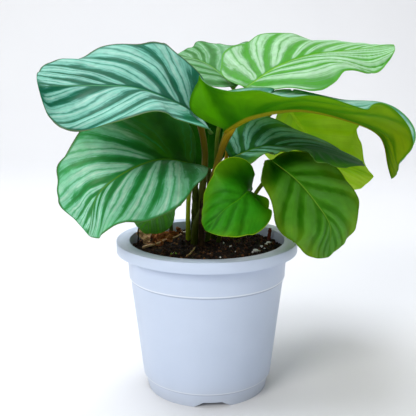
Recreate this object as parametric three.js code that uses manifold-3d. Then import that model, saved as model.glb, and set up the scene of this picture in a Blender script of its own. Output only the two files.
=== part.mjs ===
// A round-leaved calathea growing in a plain white plastic nursery pot.
// Millimetres, +Z up. The origin is the middle of the pot's foot, on the surface it stands on.
// The view that the leaves are described from looks along +Y, with +X to the right.
import * as THREE from 'three';
import { mergeVertices } from 'three/addons/utils/BufferGeometryUtils.js';
import Module from 'manifold-3d';

const wasm = await Module();
wasm.setup();

// ---------------------------------------------------------------- driving dimensions

const POT_SIDES = 48;
const POT_HEIGHT = 144;
const RIM_OUTER_R = 85;
const RIM_INNER_R = 72.9;
const RIM_DROP = 9.7;
const RIM_SKIRT = 2.4;
const BODY_TOP_R = 75;
const BAND_Z = 109;
const BAND_R = 72.5;
const BAND_STEP = 0.9;
const FOOT_LINE_Z = 13.3;
const FOOT_LINE_R = 60;
const FOOT_STEP = 1.6;
const FOOT_R = 57.5;
const FOOT_WIDTH = 4.5;
const FLOOR_Z = 5;
const FLOOR_THICKNESS = 2.6;
const PAD_R = 24;
const PAD_SLOPE = 4;
const WALL = 2.2;

const NOTCHES = 4;
const NOTCH_TURN = 5;
const NOTCH_WIDE = 33;
const NOTCH_NARROW = 17;
const NOTCH_HEIGHT = 4.8;

const DRAIN_HOLES = 6;
const DRAIN_R = 5;
const DRAIN_RING_R = 36;

const GAP = 0.3;
const SOIL_Z = 135;
const SOIL_RINGS = 7;
const SOIL_SECTORS = 36;
const ROOT_DEPTH = 13;

const BLADE_THICKNESS = 0.9;
const BLADE_ROWS = 18;
const BLADE_COLUMNS = 4;
const DRIP_TIP = 0.05;

const STALK_SIDES = 7;
const STALK_STEPS = 14;

// ---------------------------------------------------------------- finishes

const FINISH = {
  pot: { color: 0xe9ebf2, roughness: 0.42 },
  soil: { color: 0x231710, roughness: 0.95 },
  silver: { color: 0x7fb8a2, roughness: 0.5 },
  striped: { color: 0x6aa57c, roughness: 0.5 },
  bright: { color: 0x8cc25c, roughness: 0.5 },
  underside: { color: 0x5f9a16, roughness: 0.55 },
  backlit: { color: 0x86aa22, roughness: 0.55 },
  dark: { color: 0x2f6650, roughness: 0.45 },
  green: { color: 0x35701c, roughness: 0.45 },
  stalk: { color: 0x4d5a1c, roughness: 0.6 },
  ripeStalk: { color: 0x8c6a1e, roughness: 0.6 },
  redStalk: { color: 0x543a1e, roughness: 0.6 },
  dry: { color: 0x6e5136, roughness: 0.85 },
  tan: { color: 0xa98a63, roughness: 0.85 },
  twig: { color: 0x1c1814, roughness: 0.8 },
  perlite: { color: 0xe6e4dc, roughness: 0.9 },
};

/** A standard material from one of the finishes above. */
function material(name) {
  const { color, roughness } = FINISH[name];
  return new THREE.MeshStandardMaterial({ name, color, roughness, metalness: 0 });
}

/** A named mesh of one closed body. */
function piece(name, geometry, finish) {
  const mesh = new THREE.Mesh(geometry, material(finish));
  mesh.name = name;
  return mesh;
}

// ---------------------------------------------------------------- small tools

const vec = ([x, y, z]) => new THREE.Vector3(x, y, z);
const turn = (degrees) => (degrees * Math.PI) / 180;

/** The closed geometry with only merged positions and no empty triangles. */
function cleaned(geometry) {
  const bare = geometry.clone();
  for (const name of Object.keys(bare.attributes)) {
    if (name !== 'position') bare.deleteAttribute(name);
  }
  const merged = mergeVertices(bare, 1e-4);
  const index = merged.index.array;
  const kept = [];
  for (let i = 0; i < index.length; i += 3) {
    const [a, b, c] = [index[i], index[i + 1], index[i + 2]];
    if (a !== b && b !== c && c !== a) kept.push(a, b, c);
  }
  merged.setIndex(kept);
  return merged;
}

/** A closed geometry as a solid for joining and cutting. */
function solid(geometry) {
  const { index, attributes } = cleaned(geometry);
  return new wasm.Manifold(new wasm.Mesh({
    numProp: 3,
    vertProperties: new Float32Array(attributes.position.array),
    triVerts: new Uint32Array(index.array),
  }));
}

/** The geometry of a joined or cut solid. */
function geometryOf(body) {
  const { vertProperties, triVerts } = body.getMesh();
  const geometry = new THREE.BufferGeometry();
  geometry.setAttribute('position', new THREE.BufferAttribute(new Float32Array(vertProperties), 3));
  geometry.setIndex(new THREE.BufferAttribute(new Uint32Array(triVerts), 1));
  geometry.computeVertexNormals();
  return geometry;
}

/** A geometry from a list of points and triangles. */
function geometryFrom(points, triangles) {
  const geometry = new THREE.BufferGeometry();
  geometry.setFromPoints(points);
  geometry.setIndex(triangles);
  geometry.computeVertexNormals();
  return geometry;
}

/** A cylinder that stands along Z from `low` to `high` at x, y. */
function upright(radius, low, high, x, y, sides = 14) {
  const cylinder = new THREE.CylinderGeometry(radius, radius, high - low, sides);
  cylinder.rotateX(Math.PI / 2);
  cylinder.translate(x, y, (low + high) / 2);
  return cylinder;
}

/** A closed tube along a curve; radiusAt gives its radius from start (0) to end (1). */
function tube(curve, radiusAt, steps = STALK_STEPS, sides = STALK_SIDES, flatness = 1) {
  const frames = curve.computeFrenetFrames(steps, false);
  const points = [];
  const triangles = [];
  for (let i = 0; i <= steps; i += 1) {
    const centre = curve.getPointAt(i / steps);
    const radius = radiusAt(i / steps);
    for (let j = 0; j < sides; j += 1) {
      const angle = (2 * Math.PI * j) / sides;
      const out = frames.normals[i].clone().multiplyScalar(Math.cos(angle) * radius * flatness);
      out.addScaledVector(frames.binormals[i], Math.sin(angle) * radius);
      points.push(centre.clone().add(out));
    }
  }
  for (let i = 0; i < steps; i += 1) {
    for (let j = 0; j < sides; j += 1) {
      const a = i * sides + j;
      const b = i * sides + ((j + 1) % sides);
      triangles.push(a, b, b + sides, a, b + sides, a + sides);
    }
  }
  const start = points.push(curve.getPointAt(0)) - 1;
  const end = points.push(curve.getPointAt(1)) - 1;
  for (let j = 0; j < sides; j += 1) {
    const next = (j + 1) % sides;
    triangles.push(start, next, j);
    triangles.push(end, steps * sides + j, steps * sides + next);
  }
  return geometryFrom(points, triangles);
}

/** A smooth value between control values a, b and c at the start, middle and end. */
function three([a, b, c], u) {
  return a * (1 - u) * (1 - 2 * u) + 4 * b * u * (1 - u) + c * u * (2 * u - 1);
}

/** A smooth curve through even control values, with `end` at both ends. */
function along(values, t, end) {
  const all = [end, ...values, end];
  const place = Math.min(Math.max(t, 0), 1) * (all.length - 1);
  const i = Math.min(Math.floor(place), all.length - 2);
  const w = place - i;
  const b = all[i];
  const c = all[i + 1];
  const a = i > 0 ? all[i - 1] : 2 * b - c;
  const d = i + 2 < all.length ? all[i + 2] : 2 * c - b;
  const bend = (2 * a - 5 * b + 4 * c - d) * w * w + (-a + 3 * b - 3 * c + d) * w ** 3;
  return 0.5 * (2 * b + (c - a) * w + bend);
}

// ---------------------------------------------------------------- pot

/** One trapezoid cutter that reaches through the foot ring at an azimuth. */
function notchCutter(azimuth) {
  const below = 1;
  const slope = (NOTCH_WIDE - NOTCH_NARROW) / 2 / NOTCH_HEIGHT;
  const wide = NOTCH_WIDE / 2 + slope * below;
  const outline = new THREE.Shape([
    new THREE.Vector2(-wide, -below),
    new THREE.Vector2(wide, -below),
    new THREE.Vector2(NOTCH_NARROW / 2, NOTCH_HEIGHT),
    new THREE.Vector2(-NOTCH_NARROW / 2, NOTCH_HEIGHT),
  ]);
  const cutter = new THREE.ExtrudeGeometry(outline, { depth: 26, bevelEnabled: false });
  cutter.rotateX(Math.PI / 2);
  cutter.translate(0, 68, 0);
  cutter.rotateZ(azimuth - Math.PI / 2);
  return cutter;
}

/**
 * The pot: a thin wall with a turned-over rim, a band and a foot line. Its floor rests on a middle
 * pad and a foot ring; the channel between them has the drain holes, and notches lead out of it.
 */
function potGeometry() {
  const skirtInner = RIM_OUTER_R - RIM_SKIRT;
  const lipUnder = POT_HEIGHT - RIM_SKIRT;
  const rimLow = POT_HEIGHT - RIM_DROP;
  const innerFloorR = FOOT_LINE_R + FOOT_STEP - WALL - 0.8;
  const profile = [
    [0, 0],
    [PAD_R, 0],
    [PAD_R + PAD_SLOPE, FLOOR_Z],
    [FOOT_R - FOOT_WIDTH, FLOOR_Z],
    [FOOT_R - FOOT_WIDTH, 0],
    [FOOT_R - 0.6, 0],
    [FOOT_R, 0.6],
    [FOOT_LINE_R, FOOT_LINE_Z],
    [FOOT_LINE_R + FOOT_STEP, FOOT_LINE_Z + 0.8],
    [BAND_R, BAND_Z],
    [BAND_R + BAND_STEP, BAND_Z + 0.9],
    [BODY_TOP_R, rimLow],
    [BODY_TOP_R + 0.4, lipUnder],
    [skirtInner - 0.3, lipUnder],
    [skirtInner, rimLow],
    [RIM_OUTER_R - 0.5, rimLow],
    [RIM_OUTER_R, rimLow + 0.6],
    [RIM_OUTER_R, POT_HEIGHT - 1.4],
    [RIM_OUTER_R - 0.4, POT_HEIGHT - 0.4],
    [RIM_OUTER_R - 1.4, POT_HEIGHT],
    [RIM_INNER_R + 0.8, POT_HEIGHT],
    [RIM_INNER_R, POT_HEIGHT - 0.9],
    [BODY_TOP_R - WALL - 0.3, rimLow],
    [BAND_R + BAND_STEP - WALL, BAND_Z + 0.9],
    [innerFloorR, FLOOR_Z + FLOOR_THICKNESS],
    [PAD_R + PAD_SLOPE - 0.8, FLOOR_Z + FLOOR_THICKNESS],
    [PAD_R - 0.8, FLOOR_THICKNESS],
    [0, FLOOR_THICKNESS],
  ];
  const lathe = new THREE.LatheGeometry(profile.map(([r, z]) => new THREE.Vector2(r, z)), POT_SIDES);
  lathe.rotateX(Math.PI / 2);
  let body = solid(lathe);
  for (let i = 0; i < NOTCHES; i += 1) {
    body = body.subtract(solid(notchCutter(turn(-90 + NOTCH_TURN + (360 * i) / NOTCHES))));
  }
  for (let i = 0; i < DRAIN_HOLES; i += 1) {
    const angle = turn((360 * i) / DRAIN_HOLES);
    const x = DRAIN_RING_R * Math.cos(angle);
    const y = DRAIN_RING_R * Math.sin(angle);
    body = body.subtract(solid(upright(DRAIN_R, 0, FLOOR_Z + 2 * FLOOR_THICKNESS, x, y)));
  }
  return geometryOf(body);
}

/** The radius of the pot's inner wall at a height. */
function innerWall(z) {
  const low = { r: FOOT_LINE_R + FOOT_STEP - WALL - 0.8, z: FLOOR_Z + FLOOR_THICKNESS };
  const high = { r: BAND_R + BAND_STEP - WALL, z: BAND_Z + 0.9 };
  const top = { r: BODY_TOP_R - WALL - 0.3, z: POT_HEIGHT - RIM_DROP };
  const [a, b] = z < high.z ? [low, high] : [high, top];
  return a.r + ((b.r - a.r) * (z - a.z)) / (b.z - a.z);
}

// ---------------------------------------------------------------- soil

/** The height of the potting mix: low at the wall, a mound at the crown, and soft clods. */
function soilHeight(x, y) {
  const mound = 4 * Math.exp(-((x + 4) ** 2 + (y - 12) ** 2) / 900);
  const clods = Math.sin(0.19 * x + 1.3) * Math.cos(0.17 * y - 0.4);
  const crumbs = Math.sin(0.41 * x - 0.33 * y + 2.1);
  return SOIL_Z + mound + 1.1 * clods + 0.5 * crumbs;
}

/** A radius of the potting mix beside the pot's many-sided wall, where the wall has this radius. */
function besideWall(wallR) {
  return (wallR - GAP * 1.4) * Math.cos(Math.PI / POT_SIDES);
}

/** The radius of the potting mix's top. */
function soilTopR() {
  return besideWall(innerWall(SOIL_Z - 3));
}

/** A corner of the potting mix's top: on the ring and the sector with these numbers. */
function soilCorner(ring, sector) {
  const radius = (soilTopR() * ring) / SOIL_RINGS;
  const angle = (2 * Math.PI * sector) / SOIL_SECTORS;
  const x = radius * Math.cos(angle);
  const y = radius * Math.sin(angle);
  return new THREE.Vector3(x, y, soilHeight(x, y));
}

/** The potting mix as one body, with a plain hole for each stem. */
function soilGeometry(holes) {
  const lowZ = FLOOR_Z + FLOOR_THICKNESS + GAP;
  const lowR = besideWall(innerWall(lowZ));
  const bandZ = BAND_Z + 0.9;
  const bandR = besideWall(innerWall(bandZ));
  const points = [soilCorner(0, 0)];
  const triangles = [];
  const angleAt = (j) => (2 * Math.PI * j) / SOIL_SECTORS;
  for (let i = 1; i <= SOIL_RINGS; i += 1) {
    for (let j = 0; j < SOIL_SECTORS; j += 1) points.push(soilCorner(i, j));
  }
  const padTop = PAD_R + PAD_SLOPE - 0.8 - GAP;
  const padLow = PAD_R - 0.8 - 2 * GAP;
  const below = [[bandR, bandZ], [lowR, lowZ], [padTop, lowZ], [padLow, FLOOR_THICKNESS + GAP]];
  for (const [radius, z] of below) {
    for (let j = 0; j < SOIL_SECTORS; j += 1) {
      points.push(new THREE.Vector3(radius * Math.cos(angleAt(j)), radius * Math.sin(angleAt(j)), z));
    }
  }
  const bottom = points.push(new THREE.Vector3(0, 0, FLOOR_THICKNESS + GAP)) - 1;
  const rings = SOIL_RINGS + below.length;
  for (let j = 0; j < SOIL_SECTORS; j += 1) {
    const next = (j + 1) % SOIL_SECTORS;
    triangles.push(0, 1 + j, 1 + next);
    for (let i = 0; i < rings - 1; i += 1) {
      const a = 1 + i * SOIL_SECTORS + j;
      const b = 1 + i * SOIL_SECTORS + next;
      triangles.push(a, a + SOIL_SECTORS, b + SOIL_SECTORS, a, b + SOIL_SECTORS, b);
    }
    const last = 1 + (rings - 1) * SOIL_SECTORS;
    triangles.push(bottom, last + next, last + j);
  }
  let body = solid(geometryFrom(points, triangles));
  for (const { x, y, r } of holes) {
    body = body.subtract(solid(upright(r + 2 * GAP, SOIL_Z - ROOT_DEPTH - GAP, SOIL_Z + 20, x, y)));
  }
  return geometryOf(body);
}

// ---------------------------------------------------------------- leaf blades

/** The midrib curve of a leaf, its length, and the way its upper face looks along it. */
function midrib(leaf) {
  const curve = new THREE.CatmullRomCurve3(leaf.midrib.map(vec), false, 'catmullrom', 0.5);
  let length = 0;
  let last = curve.getPoint(0);
  for (let i = 1; i <= 40; i += 1) {
    const next = curve.getPoint(i / 40);
    length += next.distanceTo(last);
    last = next;
  }
  const faceBase = vec(leaf.face[0]).normalize();
  const faceTip = vec(leaf.face[1]).normalize();
  const frameAt = (distance) => {
    const u = Math.min(Math.max(distance / length, 0), 1);
    const point = curve.getPoint(u);
    const forward = curve.getTangent(u);
    point.addScaledVector(forward, distance - u * length);
    const up = faceBase.clone().multiplyScalar(1 - u).addScaledVector(faceTip, u);
    up.addScaledVector(forward, -up.dot(forward)).normalize();
    const side = new THREE.Vector3().crossVectors(forward, up);
    return { u, point, forward, up, side };
  };
  return { length, frameAt };
}

/**
 * A point of the blade. t runs from the stalk (0) to the tip (1), and s from the left edge (-1)
 * over the midrib (0) to the right edge (1). A line of constant t follows a side vein.
 */
function bladePoint(leaf, rib, t, s) {
  const { length, frameAt } = rib;
  const half = leaf.width / 2;
  const reach = Math.abs(s);
  const drip = DRIP_TIP * t ** 14;
  const atRib = length * (t ** 1.5 + drip);
  const backward = leaf.lobe * Math.sin(Math.PI * t) * (1 - t) ** 3;
  const atEdge = length * ((1 - Math.cos(Math.PI * t)) / 2 - backward + drip);
  const fullness = 0.8 * (1 - t) + leaf.blunt * t;
  const x = atRib + (atEdge - atRib) * reach ** 1.3;
  const side = s < 0 ? leaf.left : leaf.right;
  const spread = 1 + (along(side.reach, t, 1) - 1) * reach * reach;
  const y = half * Math.sin(Math.PI * t) ** fullness * reach * spread;
  const frame = frameAt(x);
  const fold = three(side.fold, frame.u);
  let curl = side.curl[0] * (1 - frame.u) + side.curl[1] * frame.u;
  if (Math.abs(curl) < 0.001) curl = 0.001;
  const slope = fold + (curl * y) / half;
  const lift = along(side.lift, t, 0) * reach ** 2.5;
  const out = (half / curl) * (Math.sin(slope) - Math.sin(fold)) - lift * Math.sin(slope);
  const rise = (half / curl) * (Math.cos(fold) - Math.cos(slope)) + lift * Math.cos(slope);
  const place = frame.point.clone();
  place.addScaledVector(frame.side, s < 0 ? -out : out);
  return place.addScaledVector(frame.up, rise);
}

/** A leaf blade: a waved sheet, split into triangles alike on both faces. */
function bladeGeometry(leaf) {
  const rib = midrib(leaf);
  const columns = 2 * BLADE_COLUMNS + 1;
  const middle = [bladePoint(leaf, rib, 0, 0)];
  for (let i = 1; i < BLADE_ROWS; i += 1) {
    for (let j = 0; j < columns; j += 1) {
      middle.push(bladePoint(leaf, rib, i / BLADE_ROWS, j / BLADE_COLUMNS - 1));
    }
  }
  const tip = middle.push(bladePoint(leaf, rib, 1, 0)) - 1;
  const at = (i, j) => 1 + (i - 1) * columns + j;
  const face = [];
  for (let j = 0; j < columns - 1; j += 1) {
    face.push(0, at(1, j + 1), at(1, j));
    face.push(tip, at(BLADE_ROWS - 1, j), at(BLADE_ROWS - 1, j + 1));
    for (let i = 1; i < BLADE_ROWS - 1; i += 1) {
      const corner = [at(i, j), at(i, j + 1), at(i + 1, j + 1), at(i + 1, j)];
      const left = j < BLADE_COLUMNS;
      if (left) face.push(corner[0], corner[1], corner[2], corner[0], corner[2], corner[3]);
      else face.push(corner[0], corner[1], corner[3], corner[1], corner[2], corner[3]);
    }
  }
  const normals = geometryFrom(middle, face).getAttribute('normal');
  const count = middle.length;
  const points = [];
  for (const sign of [1, -1]) {
    middle.forEach((point, k) => {
      const offset = new THREE.Vector3().fromBufferAttribute(normals, k);
      points.push(point.clone().addScaledVector(offset, (sign * BLADE_THICKNESS) / 2));
    });
  }
  const triangles = [...face];
  for (let k = 0; k < face.length; k += 3) {
    triangles.push(face[k] + count, face[k + 2] + count, face[k + 1] + count);
  }
  const outline = [0];
  for (let i = 1; i < BLADE_ROWS; i += 1) outline.push(at(i, columns - 1));
  outline.push(tip);
  for (let i = BLADE_ROWS - 1; i > 0; i -= 1) outline.push(at(i, 0));
  outline.forEach((a, k) => {
    const b = outline[(k + 1) % outline.length];
    triangles.push(a, a + count, b + count, a, b + count, b);
  });
  return geometryFrom(points, triangles);
}

/** A leaf stalk: it stands in its hole in the soil and ends just under the base of the blade. */
function stalkGeometry(leaf) {
  const { root, via, thickness = 2.1 } = leaf.stalk;
  const { frameAt } = midrib(leaf);
  const swell = thickness + 0.4;
  const under = (distance, drop) => {
    const { point, up } = frameAt(distance);
    return point.clone().addScaledVector(up, -(swell + BLADE_THICKNESS / 2 + GAP + drop));
  };
  const [x, y] = root;
  const curve = new THREE.CatmullRomCurve3([
    new THREE.Vector3(x, y, SOIL_Z - ROOT_DEPTH),
    new THREE.Vector3(x, y, SOIL_Z + 4),
    ...via.map(vec),
    under(-4, 2.5),
    under(7, 0.4),
  ], false, 'centripetal');
  const radiusAt = (u) => {
    const sheath = Math.max(0, 1 - u / 0.4);
    const joint = Math.min(Math.max((u - 0.86) / 0.08, 0), 1);
    return thickness + 0.7 * sheath + 0.4 * joint;
  };
  return tube(curve, radiusAt);
}

/**
 * The leaves. midrib: points from the stalk to the tip. face: the way the upper face looks at the
 * base and at the tip. width: across the widest part. lobe: how far the base lobes reach back.
 * fold: how far each half tips up from the midrib, at the base, middle and tip, in radians.
 * curl: how much each half bends further towards its edge. lift and reach: the waves of each edge,
 * in height (mm) and in width (a factor), at even steps from the base to the tip.
 */
const LEAVES = [
  {
    name: 'silver_left', finish: 'silver', stalkFinish: 'redStalk',
    midrib: [[-5, 13, 257], [-29, -12, 272], [-60, -31, 285], [-92, -51, 288], [-128, -71, 288]],
    face: [[0.3, -0.55, 0.8], [0, -0.65, 0.75]], width: 135, lobe: 0.2, blunt: 0.65,
    left: {
      fold: [0.05, 0.5, -0.6], curl: [-0.4, 0.2],
      lift: [0, 0, 1, -4, 4, 1, -3], reach: [0.5, 0.7, 0.97, 1, 1.05, 0.95, 0.98],
    },
    right: {
      fold: [0.6, 0.1, -0.05], curl: [-0.1, -0.6],
      lift: [0, 0, -1, 2, -2, 1, -1], reach: [1.05, 1, 1.03, 0.92, 1.02, 0.97, 1.03],
    },
    stalk: { root: [-7, 12], via: [[-6, 10, 170], [-3, 6, 200], [-2, 6, 226]], thickness: 3 },
  },
  {
    name: 'striped_low_left', finish: 'striped', stalkFinish: 'stalk',
    midrib: [[-11, -1, 215], [-41, -22, 222], [-70, -41, 214], [-94, -50, 195], [-103, -45, 165]],
    face: [[-0.1, -0.4, 0.9], [-0.5, -0.5, 0.7]], width: 110, lobe: 0.26, blunt: 0.8,
    left: {
      fold: [0.3, -0.1, 0.25], curl: [-0.5, -0.3],
      lift: [0, 0, 1, -1, 0, 2, -1], reach: [0.62, 0.84, 1, 1.08, 1, 0.9, 1],
    },
    right: {
      fold: [0.75, 0.45, 0.3], curl: [-0.1, 0.6],
      lift: [0, 0, 1, 0, -1, -1, 2], reach: [1.3, 1.25, 1.1, 1.05, 0.95, 0.95, 1.1],
    },
    stalk: { root: [-18, 14], via: [[-18, 6, 165], [-16, 0, 190]], thickness: 2.1 },
  },
  {
    name: 'small_back_left', finish: 'green', stalkFinish: 'stalk',
    midrib: [[-33, 26, 194], [-43, 20, 184], [-51, 18, 171], [-56, 18, 158], [-60, 20, 146]],
    face: [[0.1, -0.6, 0.8], [0, -0.85, 0.5]], width: 48, lobe: 0.2, blunt: 0.8,
    left: {
      fold: [0.25, 0.15, 0.1], curl: [-0.2, -0.3],
      lift: [0, 1, 0, -1, 0, 1, -1], reach: [1, 1, 1, 1, 1.03, 1, 1],
    },
    right: {
      fold: [0.2, 0.2, 0.1], curl: [-0.2, -0.3],
      lift: [0, 0, 1, 0, -1, 0, -1], reach: [1, 1, 1, 1, 1, 1, 1],
    },
    stalk: { root: [-36, 42], via: [[-36, 42, 160], [-31, 38, 178]], thickness: 1.6 },
  },
  {
    name: 'top_back', finish: 'striped', stalkFinish: 'stalk',
    midrib: [[26, 49, 284], [13, 76, 296], [-2, 103, 306], [-18, 130, 311], [-36, 156, 312]],
    face: [[0.05, -0.45, 0.9], [0.1, -0.45, 0.9]], width: 90, lobe: 0.2, blunt: 0.8,
    left: {
      fold: [0.2, 0.2, 0.2], curl: [-0.2, -0.2],
      lift: [0, 1, -2, 2, -2, 2, 0], reach: [1, 1.03, 0.97, 1.03, 0.97, 1, 1],
    },
    right: {
      fold: [0.3, 0.25, 0.2], curl: [0.1, 0.2],
      lift: [0, 0, 0, 1, -4, 4, 0], reach: [1, 1, 1, 1.1, 0.9, 0.9, 1],
    },
    stalk: { root: [2, 29], via: [[7, 29, 175], [9, 30, 215], [12, 36, 246]], thickness: 2.1 },
  },
  {
    name: 'bright_top_right', finish: 'bright', stalkFinish: 'ripeStalk',
    midrib: [[37, 25, 284], [68, 42, 303], [103, 60, 314], [140, 74, 318], [180, 79, 323]],
    face: [[-0.25, -0.3, 0.9], [-0.1, -0.25, 0.95]], width: 120, lobe: 0.23, blunt: 0.75,
    left: {
      fold: [0.3, 0.35, 0], curl: [-0.1, -0.7],
      lift: [0, -1, 0, 4, -3, -1, 0], reach: [1.15, 1.05, 1.05, 0.95, 1.03, 1, 1],
    },
    right: {
      fold: [0.1, 0.2, -0.05], curl: [-0.6, -0.6],
      lift: [2, 4, -2, 5, 0, -2, 1], reach: [0.9, 0.85, 1.15, 0.95, 1.03, 1.05, 0.97],
    },
    stalk: { root: [6, 19], via: [[9, 12, 185], [11, 9, 210], [13, 7, 228], [18, 8, 242]], thickness: 2.2 },
  },
  {
    name: 'large_right', finish: 'underside', stalkFinish: 'ripeStalk',
    midrib: [
      [17, -18, 247], [41, -46, 262], [77, -53, 268], [116, -49, 260], [146, -51, 246], [155, -52, 218],
    ],
    face: [[-0.2, -0.25, 0.95], [0.6, -0.25, 0.75]], width: 125, lobe: 0.36, blunt: 0.8,
    left: {
      fold: [0.85, -0.1, 1.2], curl: [0, 0],
      lift: [2, 1, -3, 0, -1, 3, 0], reach: [1, 0.87, 0.92, 1.04, 0.92, 0.72, 0.5],
    },
    right: {
      fold: [1.5, 0.5, 0.8], curl: [0, 0],
      lift: [-13, 9, -5, -5, 9, 2, -6], reach: [1.2, 1.1, 0.75, 1.1, 1.05, 1.02, 0.68],
    },
    stalk: { root: [-12, 3], via: [[-10, 1, 158], [0, -3, 182], [9, -7, 215]], thickness: 2.8 },
  },
  {
    name: 'dark_right', finish: 'dark', stalkFinish: 'stalk',
    midrib: [[22, 5, 220], [52, 16, 229], [83, 14, 229], [112, -1, 225], [133, -26, 219]],
    face: [[-0.4, -0.6, 0.7], [0.2, 0.15, 0.95]], width: 90, lobe: 0.14, blunt: 0.8,
    left: {
      fold: [0.55, 0, 0], curl: [0, 0],
      lift: [0, 0, 4, -3, -1, -1, 0], reach: [0.95, 0.95, 1.05, 0.95, 1, 1, 1],
    },
    right: {
      fold: [0.25, 0.35, -0.15], curl: [0.2, -0.4],
      lift: [-1, 2, -1, 1, 1, -1, -4], reach: [1, 1.03, 1, 1, 1, 0.95, 1.05],
    },
    stalk: { root: [0, 4], via: [[6, 0, 170], [11, 0, 198]], thickness: 2 },
  },
  {
    name: 'round_front', finish: 'green', stalkFinish: 'stalk',
    midrib: [[39, -39, 196], [35, -55, 199], [27, -68, 195], [14, -75, 187], [1, -78, 173]],
    face: [[0.1, -0.95, 0.35], [-0.3, -0.85, 0.4]], width: 66, lobe: 0.2, blunt: 0.8,
    left: {
      fold: [0.35, 0, 0.2], curl: [0.1, -0.3],
      lift: [5, 0, 0, 0, 0, 0, 0], reach: [0.97, 0.95, 0.82, 0.95, 1, 1, 0.97],
    },
    right: {
      fold: [0.45, 0.15, -0.2], curl: [0, -0.7],
      lift: [3, 0, 2, 1, -1, -3, -1], reach: [1, 1, 1.08, 0.96, 0.92, 0.87, 0.92],
    },
    stalk: { root: [11, 10], via: [[20, 4, 160], [31, -11, 183]], thickness: 1.7 },
  },
  {
    name: 'low_right', finish: 'green', stalkFinish: 'stalk',
    midrib: [[59, -14, 220], [80, -25, 204], [96, -35, 186], [109, -39, 165], [110, -32, 139]],
    face: [[0.25, -0.45, 0.85], [0.3, -0.7, 0.65]], width: 90, lobe: 0.09, blunt: 0.8,
    left: {
      fold: [0.1, 0.15, 0], curl: [0, -0.1],
      lift: [0, 0, 1, 0, -1, 0, 0], reach: [0.95, 1, 1, 0.98, 0.96, 0.92, 0.98],
    },
    right: {
      fold: [0.4, -0.05, 0.2], curl: [-0.2, -0.3],
      lift: [2, 0, 1, -1, 0, 0, 1], reach: [0.95, 1.03, 0.95, 1.05, 1, 1, 1],
    },
    stalk: { root: [24, 24], via: [[26, 22, 148], [37, 11, 168], [46, -1, 188], [54, -10, 204]], thickness: 1.9 },
  },
  {
    name: 'backlit_right', finish: 'backlit', stalkFinish: 'stalk',
    midrib: [[78, 70, 268], [95, 94, 245], [116, 108, 221], [142, 108, 201], [171, 94, 190]],
    face: [[-0.2, 0.95, -0.2], [0.3, 0.8, 0.55]], width: 99, lobe: 0.19, blunt: 0.8,
    left: {
      fold: [-0.1, 0.15, 0.15], curl: [0, 0],
      lift: [-4, -2, 0, 2, -1, 0, 0], reach: [0.95, 1, 1, 1, 1, 1, 1],
    },
    right: {
      fold: [0.2, 0.2, 0.05], curl: [0, 0],
      lift: [0, 0, 0, 0, 0, 1, -7], reach: [0.4, 0.5, 0.82, 1, 1, 1, 0.95],
    },
    stalk: { root: [14, 28], via: [[23, 36, 180], [39, 49, 225], [62, 60, 255]], thickness: 2.1 },
  },
  {
    name: 'small_behind', finish: 'green', stalkFinish: 'stalk',
    midrib: [[-4, 36, 201], [-1, 46, 216], [1, 56, 231], [2, 65, 246], [2, 72, 260]],
    face: [[0, -0.8, 0.5], [0, -0.85, 0.45]], width: 46, lobe: 0.2, blunt: 0.8,
    left: {
      fold: [0.35, 0.2, 0.1], curl: [-0.1, -0.3],
      lift: [0, 1, -1, 2, -2, 1, 0], reach: [0.75, 0.9, 1, 1, 1, 1, 1],
    },
    right: {
      fold: [0.35, 0.2, 0.1], curl: [-0.1, -0.3],
      lift: [0, -1, 1, -2, 2, -1, 0], reach: [0.4, 0.6, 0.9, 1, 1, 1, 1],
    },
    stalk: { root: [-9, 31], via: [[-8, 32, 165], [-6, 33, 186]], thickness: 2 },
  },
];

// ---------------------------------------------------------------- what lies on the soil

/** The height of the potting mix's facets at a place. */
function groundAt(x, y) {
  const ring = (SOIL_RINGS * Math.hypot(x, y)) / soilTopR();
  const sector = (SOIL_SECTORS * Math.atan2(y, x)) / (2 * Math.PI);
  const i = Math.floor(ring);
  const j = Math.floor(sector);
  const inner = soilCorner(i, j).z * (1 - sector + j) + soilCorner(i, j + 1).z * (sector - j);
  const outer = soilCorner(i + 1, j).z * (1 - sector + j) + soilCorner(i + 1, j + 1).z * (sector - j);
  return inner * (1 - ring + i) + outer * (ring - i);
}

/** The geometry let down onto the potting mix, until one of its points is a gap above it. */
function rested(geometry) {
  const { position } = geometry.attributes;
  let lift = -Infinity;
  for (let k = 0; k < position.count; k += 1) {
    lift = Math.max(lift, groundAt(position.getX(k), position.getY(k)) - position.getZ(k));
  }
  return geometry.translate(0, 0, lift + GAP);
}

/** A perlite grain: a rough pebble that rests on the soil. */
function grainGeometry([x, y, radius]) {
  const grain = new THREE.DodecahedronGeometry(radius, 0);
  grain.scale(1.15, 0.9, 0.8);
  grain.rotateZ(x * 0.7);
  grain.translate(x, y, SOIL_Z);
  return rested(cleaned(grain));
}

/** The round dry leaf: a thin cupped disc that lies on the soil near the wall. */
function dryLeafGeometry() {
  const [x, y, across] = DRY_LEAF;
  const cup = [
    [0, 0], [across * 0.55, 0.9], [across, 3.6],
    [across - 0.5, 4.4], [across * 0.5, 1.9], [0, 1],
  ];
  const disc = new THREE.LatheGeometry(cup.map(([r, z]) => new THREE.Vector2(r, z)), 14);
  disc.rotateX(Math.PI / 2);
  disc.scale(1, 0.8, 1);
  disc.translate(x, y, SOIL_Z);
  return rested(cleaned(disc));
}

/** A stalk that lies on the soil from one place over a middle place to another. */
function lyingGeometry([from, middle, to], radius) {
  const spots = [from, middle, to].map(([x, y]) => new THREE.Vector3(x, y, groundAt(x, y)));
  return rested(tube(new THREE.CatmullRomCurve3(spots), () => radius, 8, 6));
}

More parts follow.
